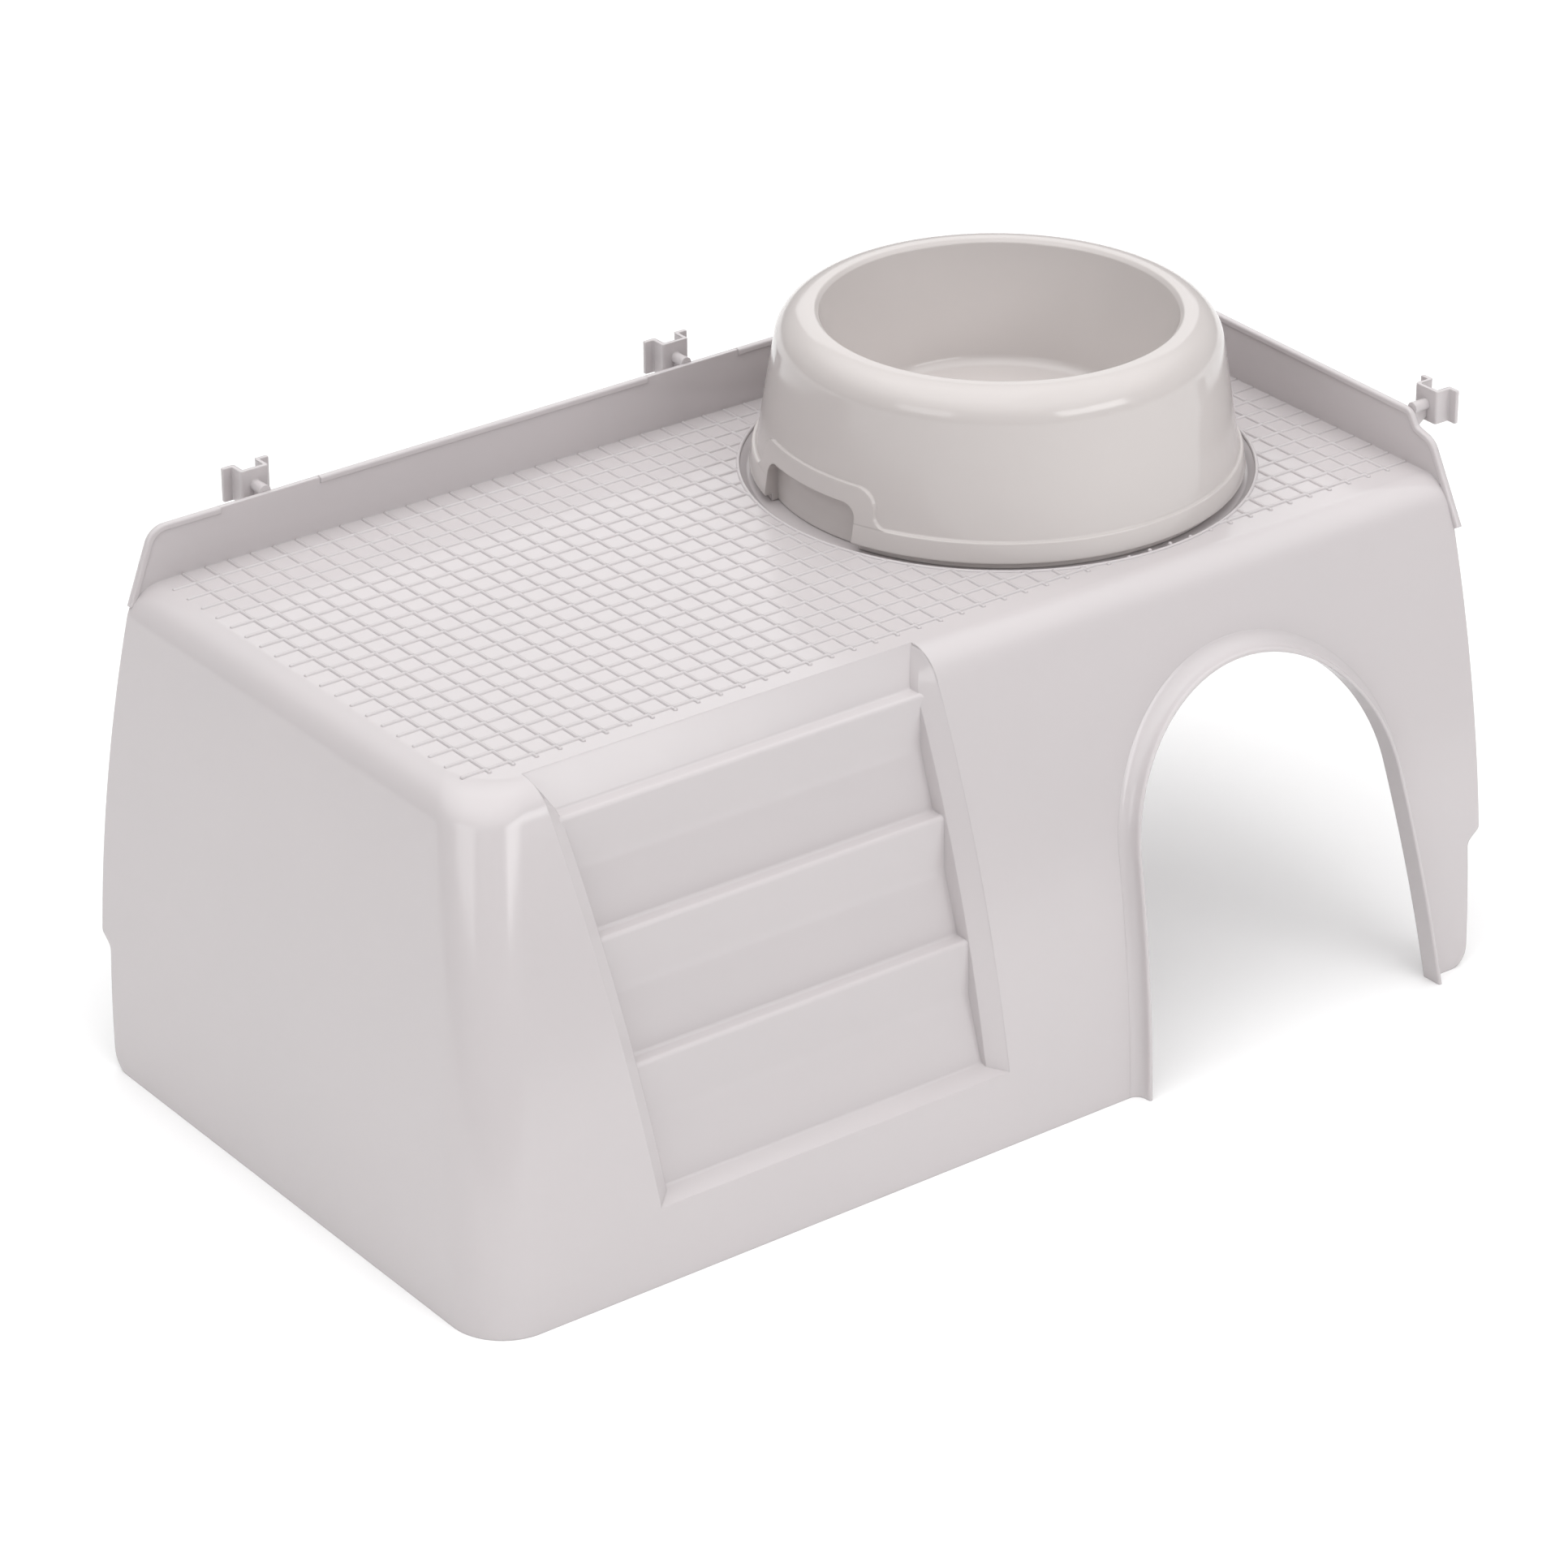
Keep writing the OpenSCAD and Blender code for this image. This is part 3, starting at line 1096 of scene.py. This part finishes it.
    def back_lip(self) -> list[Point2]:
        """Makes the back lip's outline, from its foot over its free end to the corner.

        Returns:
            The outline in (x, z).
        """
        s = self.sizes
        x, top = s.deck_x - 3, s.deck + s.lip_height
        return rounded(
            [
                (x - 11, s.deck - 7, 0),
                (x, top, 9),
                (s.right, top + s.lip_rise, 0),
                (s.right, s.deck - s.deck_wall, 0),
                (s.deck_x + 4, s.deck - s.deck_wall, 0),
                (x - 4, s.deck - 8, 0),
            ],
            steps=12,
        )

    def side_lip(self) -> list[Point2]:
        """Makes the right lip's outline, from its foot over its free end to the corner.

        Returns:
            The outline in (y, z).
        """
        s = self.sizes
        y, top = s.deck_y + 12, s.deck + s.lip_height
        return rounded(
            [
                (y - 32, s.deck - 17, 0),
                (y - 15, top - 8.5, 9),
                (y - 6, top - 6, 3),
                (y - 2, top, 4),
                (s.back, top + s.lip_rise, 0),
                (s.back, s.deck - s.deck_wall, 0),
                (s.deck_y, s.deck - s.deck_wall, 0),
                (y - 20, s.deck - 9, 0),
            ],
            steps=10,
        )

    def bead(
        self, name: str, outline: Sequence[Point2], axis: Axis, breaks: Sequence[float]
    ) -> list[bpy.types.Object]:
        """Makes the bead along the top and free end of a lip, thinned beside each clip.

        Args:
            name: The pieces' name.
            outline: The lip's outline from its foot to the corner.
            axis: The axis across the lip.
            breaks: Where clips stand along the lip.

        Returns:
            The bead's pieces.
        """
        s = self.sizes
        spacing, clip_gap = 4.0, 20.0
        path = dense(outline, spacing)
        groups: list[list[int]] = [[]]
        for i, (a, _) in enumerate(path):
            if any(abs(a - b) < clip_gap for b in breaks):
                if groups[-1]:
                    groups.append([])
            else:
                groups[-1].append(i)
        across = Vector((1, 0, 0)) if axis is Axis.X else Vector((0, 1, 0))
        face = s.right if axis is Axis.X else s.back
        section = rounded(
            [
                (-0.25, -0.15, 0.4),
                (s.bead_height, -0.15, 0.3),
                (s.bead_height, -s.lip_wall - s.bead_proud, 0.5),
                (-0.25, -s.lip_wall - s.bead_proud, 0.9),
            ],
            steps=4,
        )
        pieces = []
        for group in groups:
            if len(group) < 2:
                continue
            points, sides = [], []
            for i in group:
                a, z = path[i]
                before, after = path[max(i - 1, 0)], path[min(i + 1, len(path) - 1)]
                along = Vector((after[0] - before[0], after[1] - before[1])).normalized()
                inward = Vector((along.y, -along.x))
                if axis is Axis.X:
                    points.append(Vector((face, a, z)))
                    sides.append(Vector((0, inward.x, inward.y)))
                else:
                    points.append(Vector((a, face, z)))
                    sides.append(Vector((inward.x, 0, inward.y)))
            pieces.append(sweep(name, points, sides, across, section))
        return pieces

    def rib(self, start: Vector, stop: Vector) -> bpy.types.Object:
        """Makes one rib of the deck, half round with rounded ends.

        Args:
            start: Where it starts.
            stop: Where it ends.

        Returns:
            The rib.
        """
        s = self.sizes
        half, high = s.rib_width / 2, s.rib_height
        section = [
            (-half - 0.25, -0.3),
            (-half - 0.2, 0.0),
            (-half, high * 0.22),
            (-half * 0.78, high * 0.72),
            (-half * 0.4, high * 0.95),
            (0.0, high),
            (half * 0.4, high * 0.95),
            (half * 0.78, high * 0.72),
            (half, high * 0.22),
            (half + 0.2, 0.0),
            (half + 0.25, -0.3),
        ]
        along = (stop - start).normalized()
        side = Vector((-along.y, along.x, 0))
        rings = []
        turns = 5
        thinnest = 0.02
        for end, sign in ((start, -1.0), (stop, 1.0)):
            steps = range(turns + 1) if sign > 0 else range(turns, -1, -1)
            for i in steps:
                t = math.pi / 2 * i / turns
                wide = max(math.cos(t), thinnest)
                push = half * math.sin(t) - half
                centre = end + along * (sign * push)
                ring = []
                for a, b in section:
                    rise = Vector((0, 0, b if b < 0 else b * wide))
                    ring.append(centre + side * (a * wide) + rise)
                rings.append(ring)
        return loft("rib", rings)

    def ribs(self) -> bpy.types.Object:
        """Makes the crossing ribs, left out where the bowl sits.

        Returns:
            All the ribs as one piece.
        """
        s = self.sizes
        front_margin, past_front, past_left = 5.0, 2.0, 1.2
        x1, y1 = s.right - s.rib_side, s.back - s.rib_back
        columns = int((x1 - s.deck_x) // s.rib_pitch)
        rows = int((y1 - s.deck_y - front_margin) // s.rib_pitch)
        y0, y2 = y1 - rows * s.rib_pitch - past_front, s.back - s.lip_wall
        x0, x2 = s.deck_x - past_left, s.right - s.lip_wall
        z = s.deck
        parts = []
        for i in range(columns + 1):
            x = x1 - i * s.rib_pitch
            for a, b in around(y0, y2, s.bowl[1], s.seat_r, x - s.bowl[0]):
                parts.append(self.rib(Vector((x, a, z)), Vector((x, b, z))))
        for j in range(rows + 1):
            y = y1 - j * s.rib_pitch
            for a, b in around(x0, x2, s.bowl[0], s.seat_r, y - s.bowl[1]):
                parts.append(self.rib(Vector((a, y, z)), Vector((b, y, z))))
        wide, tall, sink, ahead = 0.9, 0.75, 0.3, 0.4
        dome = [(0.0, -sink), (wide + 0.05, -sink)]
        dome += [(wide * math.cos(t), tall * math.sin(t)) for t in (0.0, 0.35, 0.75, 1.15)]
        dome.append((0.0, tall))
        for i in range(columns + 1):
            parts.append(lathe("rib_end", dome, (x1 - i * s.rib_pitch, y0 - ahead), z, 20))
        return merge("deck_ribs", parts)

    def seat_ring(self) -> bpy.types.Object:
        """Makes the raised rib around the bowl's seat.

        Returns:
            The rib.
        """
        s = self.sizes
        half, sink = s.seat_rib / 2, 0.5
        profile = [(s.seat_r - half, -sink)]
        for i in range(9):
            t = math.pi - math.pi * i / 8
            profile.append((s.seat_r + half * math.cos(t), s.rib_height * math.sin(t)))
        profile.append((s.seat_r + half, -sink))
        return lathe("seat_ring", profile, s.bowl, s.deck, 256)

    def shell(self) -> bpy.types.Object:
        """Makes the thin shell by cutting one smooth solid.

        Returns:
            The shell.
        """
        s = self.sizes
        shell = self.block("house_moulding", 0, 0)
        inner = self.block("inside", -s.wall, -s.deck_wall)
        carve(inner, self.step_space(s.wall), Cut.REMOVE)
        carve(inner, self.seat_space(s.deck_wall), Cut.REMOVE)
        carve(shell, inner, Cut.REMOVE)
        carve(shell, self.step_space(0), Cut.REMOVE)
        for side in (-1, 1):
            carve(shell, self.cheek(side), Cut.ADD)
        carve(shell, self.seat_space(0), Cut.REMOVE)
        carve(shell, self.door_space(s.collar_wall / 2), Cut.REMOVE)
        far = 3 * self.past
        keep_x = prism(
            "keep_x",
            self.edge_outline(s.left - far, s.right),
            Axis.Y,
            s.front - far,
            s.back + far,
        )
        keep_y = prism(
            "keep_y",
            self.edge_outline(s.front - far, s.back),
            Axis.X,
            s.left - far,
            s.right + far,
        )
        carve(shell, keep_x, Cut.KEEP)
        carve(shell, keep_y, Cut.KEEP)
        lips = prism("lip", self.back_lip(), Axis.Y, s.back - s.lip_wall, s.back)
        carve(shell, lips, Cut.ADD)
        lips = prism("lip", self.side_lip(), Axis.X, s.right - s.lip_wall, s.right)
        carve(shell, lips, Cut.ADD)
        return shade(shell, 26)

    def build(self) -> None:
        """Makes the whole house."""
        s = self.sizes
        shell = self.shell()
        buried = 3  # the last corners of each lip's outline lie below the deck's top face
        clips = [mount("clip_left").x, mount("clip_right").x]
        beads = self.bead("bead", self.back_lip()[:-buried], Axis.Y, clips)
        beads += self.bead("bead", self.side_lip()[:-buried], Axis.X, [])
        pieces = [
            shell,
            shade(self.collar(), 40),
            shade(merge("lip_bead", beads), 40),
            shade(self.ribs(), 60),
            shade(self.seat_ring(), 60),
        ]
        for piece in pieces:
            finish(piece, self.finishes.shell, Body.HOUSE)
        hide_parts("house_shell")
        LOG.info("house: %d pieces, deck at %.1f mm", len(pieces), s.deck)


def dense(points: Sequence[Point2], step: float) -> list[Point2]:
    """Adds points along an outline so that none are further apart than a step.

    Args:
        points: The open outline.
        step: The largest spacing.

    Returns:
        The denser outline.
    """
    result = [points[0]]
    for (ax, ay), (bx, by) in zip(points, points[1:]):
        count = max(1, math.ceil(math.hypot(bx - ax, by - ay) / step))
        for i in range(1, count + 1):
            result.append((ax + (bx - ax) * i / count, ay + (by - ay) * i / count))
    return result


def around(start: float, stop: float, middle: float, radius: float, offset: float) -> list[Point2]:
    """Splits a straight rib where it would cross a circle.

    Args:
        start: Where the rib starts.
        stop: Where it ends.
        middle: The circle's middle along the rib.
        radius: The circle's radius.
        offset: The rib's distance from the circle's middle.

    Returns:
        The stretches that are left.
    """
    if abs(offset) >= radius:
        return [(start, stop)]
    half = math.sqrt(radius * radius - offset * offset)
    stretches = [(start, middle - half), (middle + half, stop)]
    shortest = 1.0
    return [(a, b) for a, b in stretches if b - a > shortest]


# --------------------------------------------------------------------------------------
# The bowl
# --------------------------------------------------------------------------------------


@dataclass
class Bowl:
    """The feeding bowl: a thin turned moulding with a foot band and two finger recesses.

    Attributes:
        sizes: The house's sizes, which give its axis and the deck.
        finishes: The scene's materials.
    """

    sizes: HouseSizes
    finishes: Finishes
    wall: float = 1.8
    mouth_r: float = 69.3
    dish_r: float = 58.0
    dish_floor: float = 16.0
    band_height: float = 9.0
    band_proud: float = 1.5
    finger_half: float = 27.0
    finger_height: float = 15.7
    finger_depth: float = 6.5
    finger_round: float = 6.0
    border: float = 7.5
    band_draft: float = 1.3
    foot_lift: float = 3.0
    top_draft: float = 9.0
    shoulder: float = 13.8

    def __post_init__(self) -> None:
        """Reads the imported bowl's box."""
        low, high = node_box("food_bowl")
        self.foot_r = (high.y - low.y) / 2
        self.height = high.z - self.sizes.deck
        self.base = low.z - self.sizes.deck
        self.skirt_r = self.foot_r - self.band_draft - self.band_proud

    def profile(self) -> list[Point2]:
        """Makes the bowl's section.

        Returns:
            The closed section in (radius, height above the deck).
        """
        w, top, r = self.wall, self.height, self.skirt_r
        low = self.base + self.foot_lift
        return rounded(
            [
                (0, self.dish_floor, 0),
                (self.dish_r, self.dish_floor, 5),
                (self.mouth_r, top - 1.5, 0.8),
                (self.mouth_r + 1.5, top, 1.2),
                (r - self.top_draft, top, self.shoulder),
                (r, self.band_height, 0.8),
                (r + self.band_proud, self.band_height, 0.6),
                (self.foot_r, low, 0.7),
                (r - w / 2, low, 0),
                (r - w / 2, self.base, 0),
                (r - 3 * w / 2, self.base, 0),
                (r - w, self.band_height, 0),
                (r - self.top_draft - w, top - w, self.shoulder - w),
                (self.mouth_r + w + 0.6, top - w, 0.6),
                (self.dish_r + w, self.dish_floor - w, 2),
                (0, self.dish_floor - w, 0),
            ],
            steps=14,
        )

    def border_ring(self) -> bpy.types.Object:
        """Makes the raised border of the finger recesses as a full ring.

        Returns:
            The ring.
        """
        slope = self.top_draft / (self.height - self.band_height)
        outer, inner = self.skirt_r + self.band_proud, self.skirt_r - 1.0
        low, high = self.band_height - 0.8, self.finger_height + self.border + 1
        lean = (high - self.band_height) * slope
        profile = [
            (inner, low),
            (outer - 0.4, low),
            (outer, self.band_height),
            (outer - lean, high),
            (inner - lean, high),
        ]
        return lathe("border", profile, self.sizes.bowl, self.sizes.deck, 256)

    def border_outline(self) -> list[Point2]:
        """Makes the outline of a border, which flares into the top of the foot band.

        Returns:
            The outline in (distance across, height).
        """
        deck, y = self.sizes.deck, self.sizes.bowl[1]
        half, flare = self.finger_half + self.border, 2 * self.finger_round
        foot, top = deck + self.band_height - 0.2, deck + self.finger_height + self.border
        bend = self.finger_round + self.border / 3
        corners: list[Corner] = [
            (y - half - flare, foot - 0.6, 0),
            (y - half - flare, foot, 0),
            (y - half, foot, self.finger_round),
            (y - half, top, bend),
            (y + half, top, bend),
            (y + half, foot, self.finger_round),
            (y + half + flare, foot, 0),
            (y + half + flare, foot - 0.6, 0),
        ]
        return rounded(corners, steps=12)

    def finger_outline(self, grow: float, foot: float) -> list[Point2]:
        """Makes the outline of a finger recess.

        Args:
            grow: How far it is moved outward.
            foot: Its lower edge above the deck.

        Returns:
            The outline in (distance across, height).
        """
        deck, y = self.sizes.deck, self.sizes.bowl[1]
        half, top = self.finger_half + grow, deck + self.finger_height + grow
        corners: list[Corner] = [
            (y - half, deck + foot, 0),
            (y - half, top, self.finger_round + grow),
            (y + half, top, self.finger_round + grow),
            (y + half, deck + foot, 0),
        ]
        return rounded(corners, steps=10)

    def tube(self, inner: float, outer: float) -> bpy.types.Object:
        """Makes an upright tube about the bowl's axis that reaches past its foot and its top.

        Args:
            inner: The tube's inner radius.
            outer: The tube's outer radius.

        Returns:
            The tube.
        """
        low, high = -9.0, 30.0
        profile = [(inner, low), (outer, low), (outer, high), (inner, high)]
        return lathe("tube", profile, self.sizes.bowl, self.sizes.deck, 192)

    def build(self) -> None:
        """Makes the bowl."""
        deck, x = self.sizes.deck, self.sizes.bowl[0]
        bowl = lathe("bowl_moulding", self.profile(), self.sizes.bowl, deck, 256)
        start_r, stop_r = 30.0, self.foot_r + 10
        recess_r, w = self.foot_r - self.finger_depth, self.wall
        for side in (-1, 1):
            near, far = sorted((x + side * start_r, x + side * stop_r))
            border = self.border_ring()
            carve(border, prism("window", self.border_outline(), Axis.X, near, far), Cut.KEEP)
            carve(bowl, border, Cut.ADD)
            wall = prism("pocket", self.finger_outline(w, self.base), Axis.X, near, far)
            carve(wall, self.tube(recess_r - w, self.skirt_r - 1.2), Cut.KEEP)
            carve(bowl, wall, Cut.ADD)
            space = prism("space", self.finger_outline(0, self.base - 0.5), Axis.X, near, far)
            carve(space, self.tube(recess_r, self.foot_r + 5), Cut.KEEP)
            carve(bowl, space, Cut.REMOVE)
        shade(bowl, 24)
        finish(bowl, self.finishes.bowl, Body.BOWL)
        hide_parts("food_bowl")
        LOG.info("bowl: %.1f mm across its foot, %.1f mm high", 2 * self.foot_r, self.height)


# --------------------------------------------------------------------------------------
# The wire clips
# --------------------------------------------------------------------------------------


@dataclass
class WireClip:
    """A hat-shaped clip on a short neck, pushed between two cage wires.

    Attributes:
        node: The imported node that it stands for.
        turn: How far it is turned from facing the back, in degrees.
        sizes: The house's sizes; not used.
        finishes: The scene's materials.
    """

    node: str
    turn: float
    sizes: HouseSizes
    finishes: Finishes
    width: float = 12.5
    height: float = 13.5
    neck: float = 7.0
    neck_d: float = 4.6
    gusset: float = 10.5
    channel: float = 6.4
    flange: float = 4.0
    wall: float = 1.6

    def root(self) -> Vector:
        """Finds where the neck leaves the lip.

        Returns:
            The point, in millimetres.
        """
        low, high = node_box(self.node)
        middle = (low + high) / 2
        if self.turn:
            return Vector((low.x, middle.y, middle.z))
        return Vector((middle.x, low.y, middle.z))

    def build(self) -> None:
        """Makes the clip."""
        y, half, w = self.neck, self.width / 2, self.wall
        reach = y + w + self.channel
        outer = half + self.flange
        plan = rounded(
            [
                (-half, y, 1.2),
                (half, y, 1.2),
                (half, reach - w, 0.4),
                (outer, reach - w, 0.5),
                (outer, reach, 0.5),
                (half - w, reach, 0.9),
                (half - w, y + w, 0.6),
                (-half + w, y + w, 0.6),
                (-half + w, reach, 0.9),
                (-outer, reach, 0.5),
                (-outer, reach - w, 0.5),
                (-half, reach - w, 0.4),
            ],
            steps=4,
        )
        low, high = -self.height / 2, self.height / 2
        edge = [(0.0, 0.35), (0.1, 0.12), (0.35, 0.0)]
        levels = [(low + up, inset) for up, inset in edge]
        levels += [(high - down, inset) for down, inset in reversed(edge)]
        rings = []
        for z, inset in levels:
            scale = 1 - inset / outer
            rings.append([(a * scale, b, z) for a, b in plan])
        hat = loft("hat", rings)
        neck_r = self.neck_d / 2
        turns = [i * math.pi / 12 for i in range(24)]
        rod = [(neck_r * math.cos(t), neck_r * math.sin(t)) for t in turns]
        neck = loft("neck", [[(a, at, b) for a, b in rod] for at in (0.0, y + w / 2)])
        web = prism(
            "web",
            [(0, 0), (y + 0.4, 0), (y + 0.4, -self.neck_d), (0, -self.gusset)],
            Axis.X,
            -w / 2,
            w / 2,
        )
        carve(hat, neck, Cut.ADD)
        carve(hat, web, Cut.ADD)
        hat.name = f"{self.node}_moulding"
        turn = Matrix.Rotation(math.radians(self.turn), 4, "Z")
        hat.data.transform(Matrix.Translation(self.root() * MM) @ turn)
        shade(hat, 35)
        finish(hat, self.finishes.shell, Body.HOUSE)
        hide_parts(self.node)


# --------------------------------------------------------------------------------------
# Studio
# --------------------------------------------------------------------------------------


@dataclass(frozen=True)
class SoftBox:
    """A rectangular studio light.

    Attributes:
        name: The light's name.
        place: Where it stands, in metres.
        aim: The point that it faces, in metres.
        width: Its width, in metres.
        height: Its height, in metres.
        watts: Its power.
    """

    name: str
    place: tuple[float, float, float]
    aim: tuple[float, float, float]
    width: float
    height: float
    watts: float

    def build(self) -> None:
        """Makes the light."""
        data = bpy.data.lights.new(self.name, "AREA")
        data.shape = "RECTANGLE"
        data.size, data.size_y = self.width, self.height
        data.energy = self.watts
        light = bpy.data.objects.new(self.name, data)
        aim = Vector(self.aim) - Vector(self.place)
        light.rotation_euler = aim.to_track_quat("-Z", "Y").to_euler()
        light.location = self.place
        bpy.context.scene.collection.objects.link(light)


@dataclass
class Studio:
    """The floor, the lights and the camera.

    Attributes:
        finishes: The scene's materials.
    """

    finishes: Finishes

    def floor(self) -> None:
        """Makes the pale floor."""
        size = 6000.0
        floor = make_mesh(
            "studio_floor",
            [(-size, -size, 0), (size, -size, 0), (size, size, 0), (-size, size, 0)],
            [[0, 1, 2, 3]],
        )
        floor.data.materials.append(self.finishes.paper)

    def lights(self) -> None:
        """Makes the soft lights and surroundings that are dim at eye level and bright above."""
        boxes = [
            SoftBox("top_box", (-0.2, 0.2, 1.9), (0.0, 0.0, 0.1), 1.6, 1.2, 3),
            SoftBox("back_box", (1.7, 2.2, 1.5), (0.0, 0.0, 0.1), 1.8, 1.0, 6),
            SoftBox("left_box", (-1.75, -0.45, 1.0), (0.0, 0.0, 0.15), 1.0, 0.6, 4),
            SoftBox("front_box", (0.45, -1.95, 1.1), (0.0, 0.0, 0.15), 1.4, 0.6, 11),
        ]
        for box in boxes:
            box.build()
        world = bpy.data.worlds.new("studio")
        world.use_nodes = True
        tree = world.node_tree
        tree.nodes.clear()
        dim, bright = 0.2, 1.8
        bright_from, bright_to = 0.4, 0.9
        ray = add_node(tree, "ShaderNodeTexCoord").outputs["Generated"]
        up = add_node(tree, "ShaderNodeSeparateXYZ", links={"Vector": ray}).outputs["Z"]
        level = add_node(
            tree,
            "ShaderNodeMapRange",
            {"interpolation_type": "SMOOTHSTEP"},
            {"From Min": bright_from, "From Max": bright_to, "To Min": dim, "To Max": bright},
            {"Value": up},
        )
        back = add_node(
            tree,
            "ShaderNodeBackground",
            values={"Color": (1.0, 1.0, 1.0, 1.0)},
            links={"Strength": level.outputs["Result"]},
        )
        add_node(tree, "ShaderNodeOutputWorld", links={"Surface": back.outputs["Background"]})
        bpy.context.scene.world = world

    def camera(self) -> None:
        """Places the camera at the front left, looking down on the house."""
        data = bpy.data.cameras.new("camera")
        data.lens = 133.82
        data.sensor_width = 36.0
        data.clip_start, data.clip_end = 0.05, 50.0
        camera = bpy.data.objects.new("camera", data)
        pan, tilt, roll = (math.radians(angle) for angle in (-36.815, -27.45, -0.19))
        place = Vector((-1193.8, -1573.7, 1111.3)) * MM
        camera.matrix_world = (
            Matrix.Translation(place)
            @ Matrix.Rotation(pan, 4, "Z")
            @ Matrix.Rotation(math.pi / 2 + tilt, 4, "X")
            @ Matrix.Rotation(roll, 4, "Z")
        )
        bpy.context.scene.collection.objects.link(camera)
        bpy.context.scene.camera = camera
        bpy.context.scene.view_settings.view_transform = "Standard"


def main() -> None:
    """Builds the scene."""
    logging.basicConfig(level=logging.INFO, format="%(name)s: %(message)s")
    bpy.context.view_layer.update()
    sizes = HouseSizes.from_frame()
    finishes = Finishes()
    House(sizes, finishes).build()
    Bowl(sizes, finishes).build()
    for node, turn in (("wire_clip_left", 0.0), ("wire_clip_right", 0.0), ("wire_clip_side", -90.0)):
        WireClip(node, turn, sizes, finishes).build()
    studio = Studio(finishes)
    studio.floor()
    studio.lights()
    studio.camera()


if __name__ == "__main__":
    main()
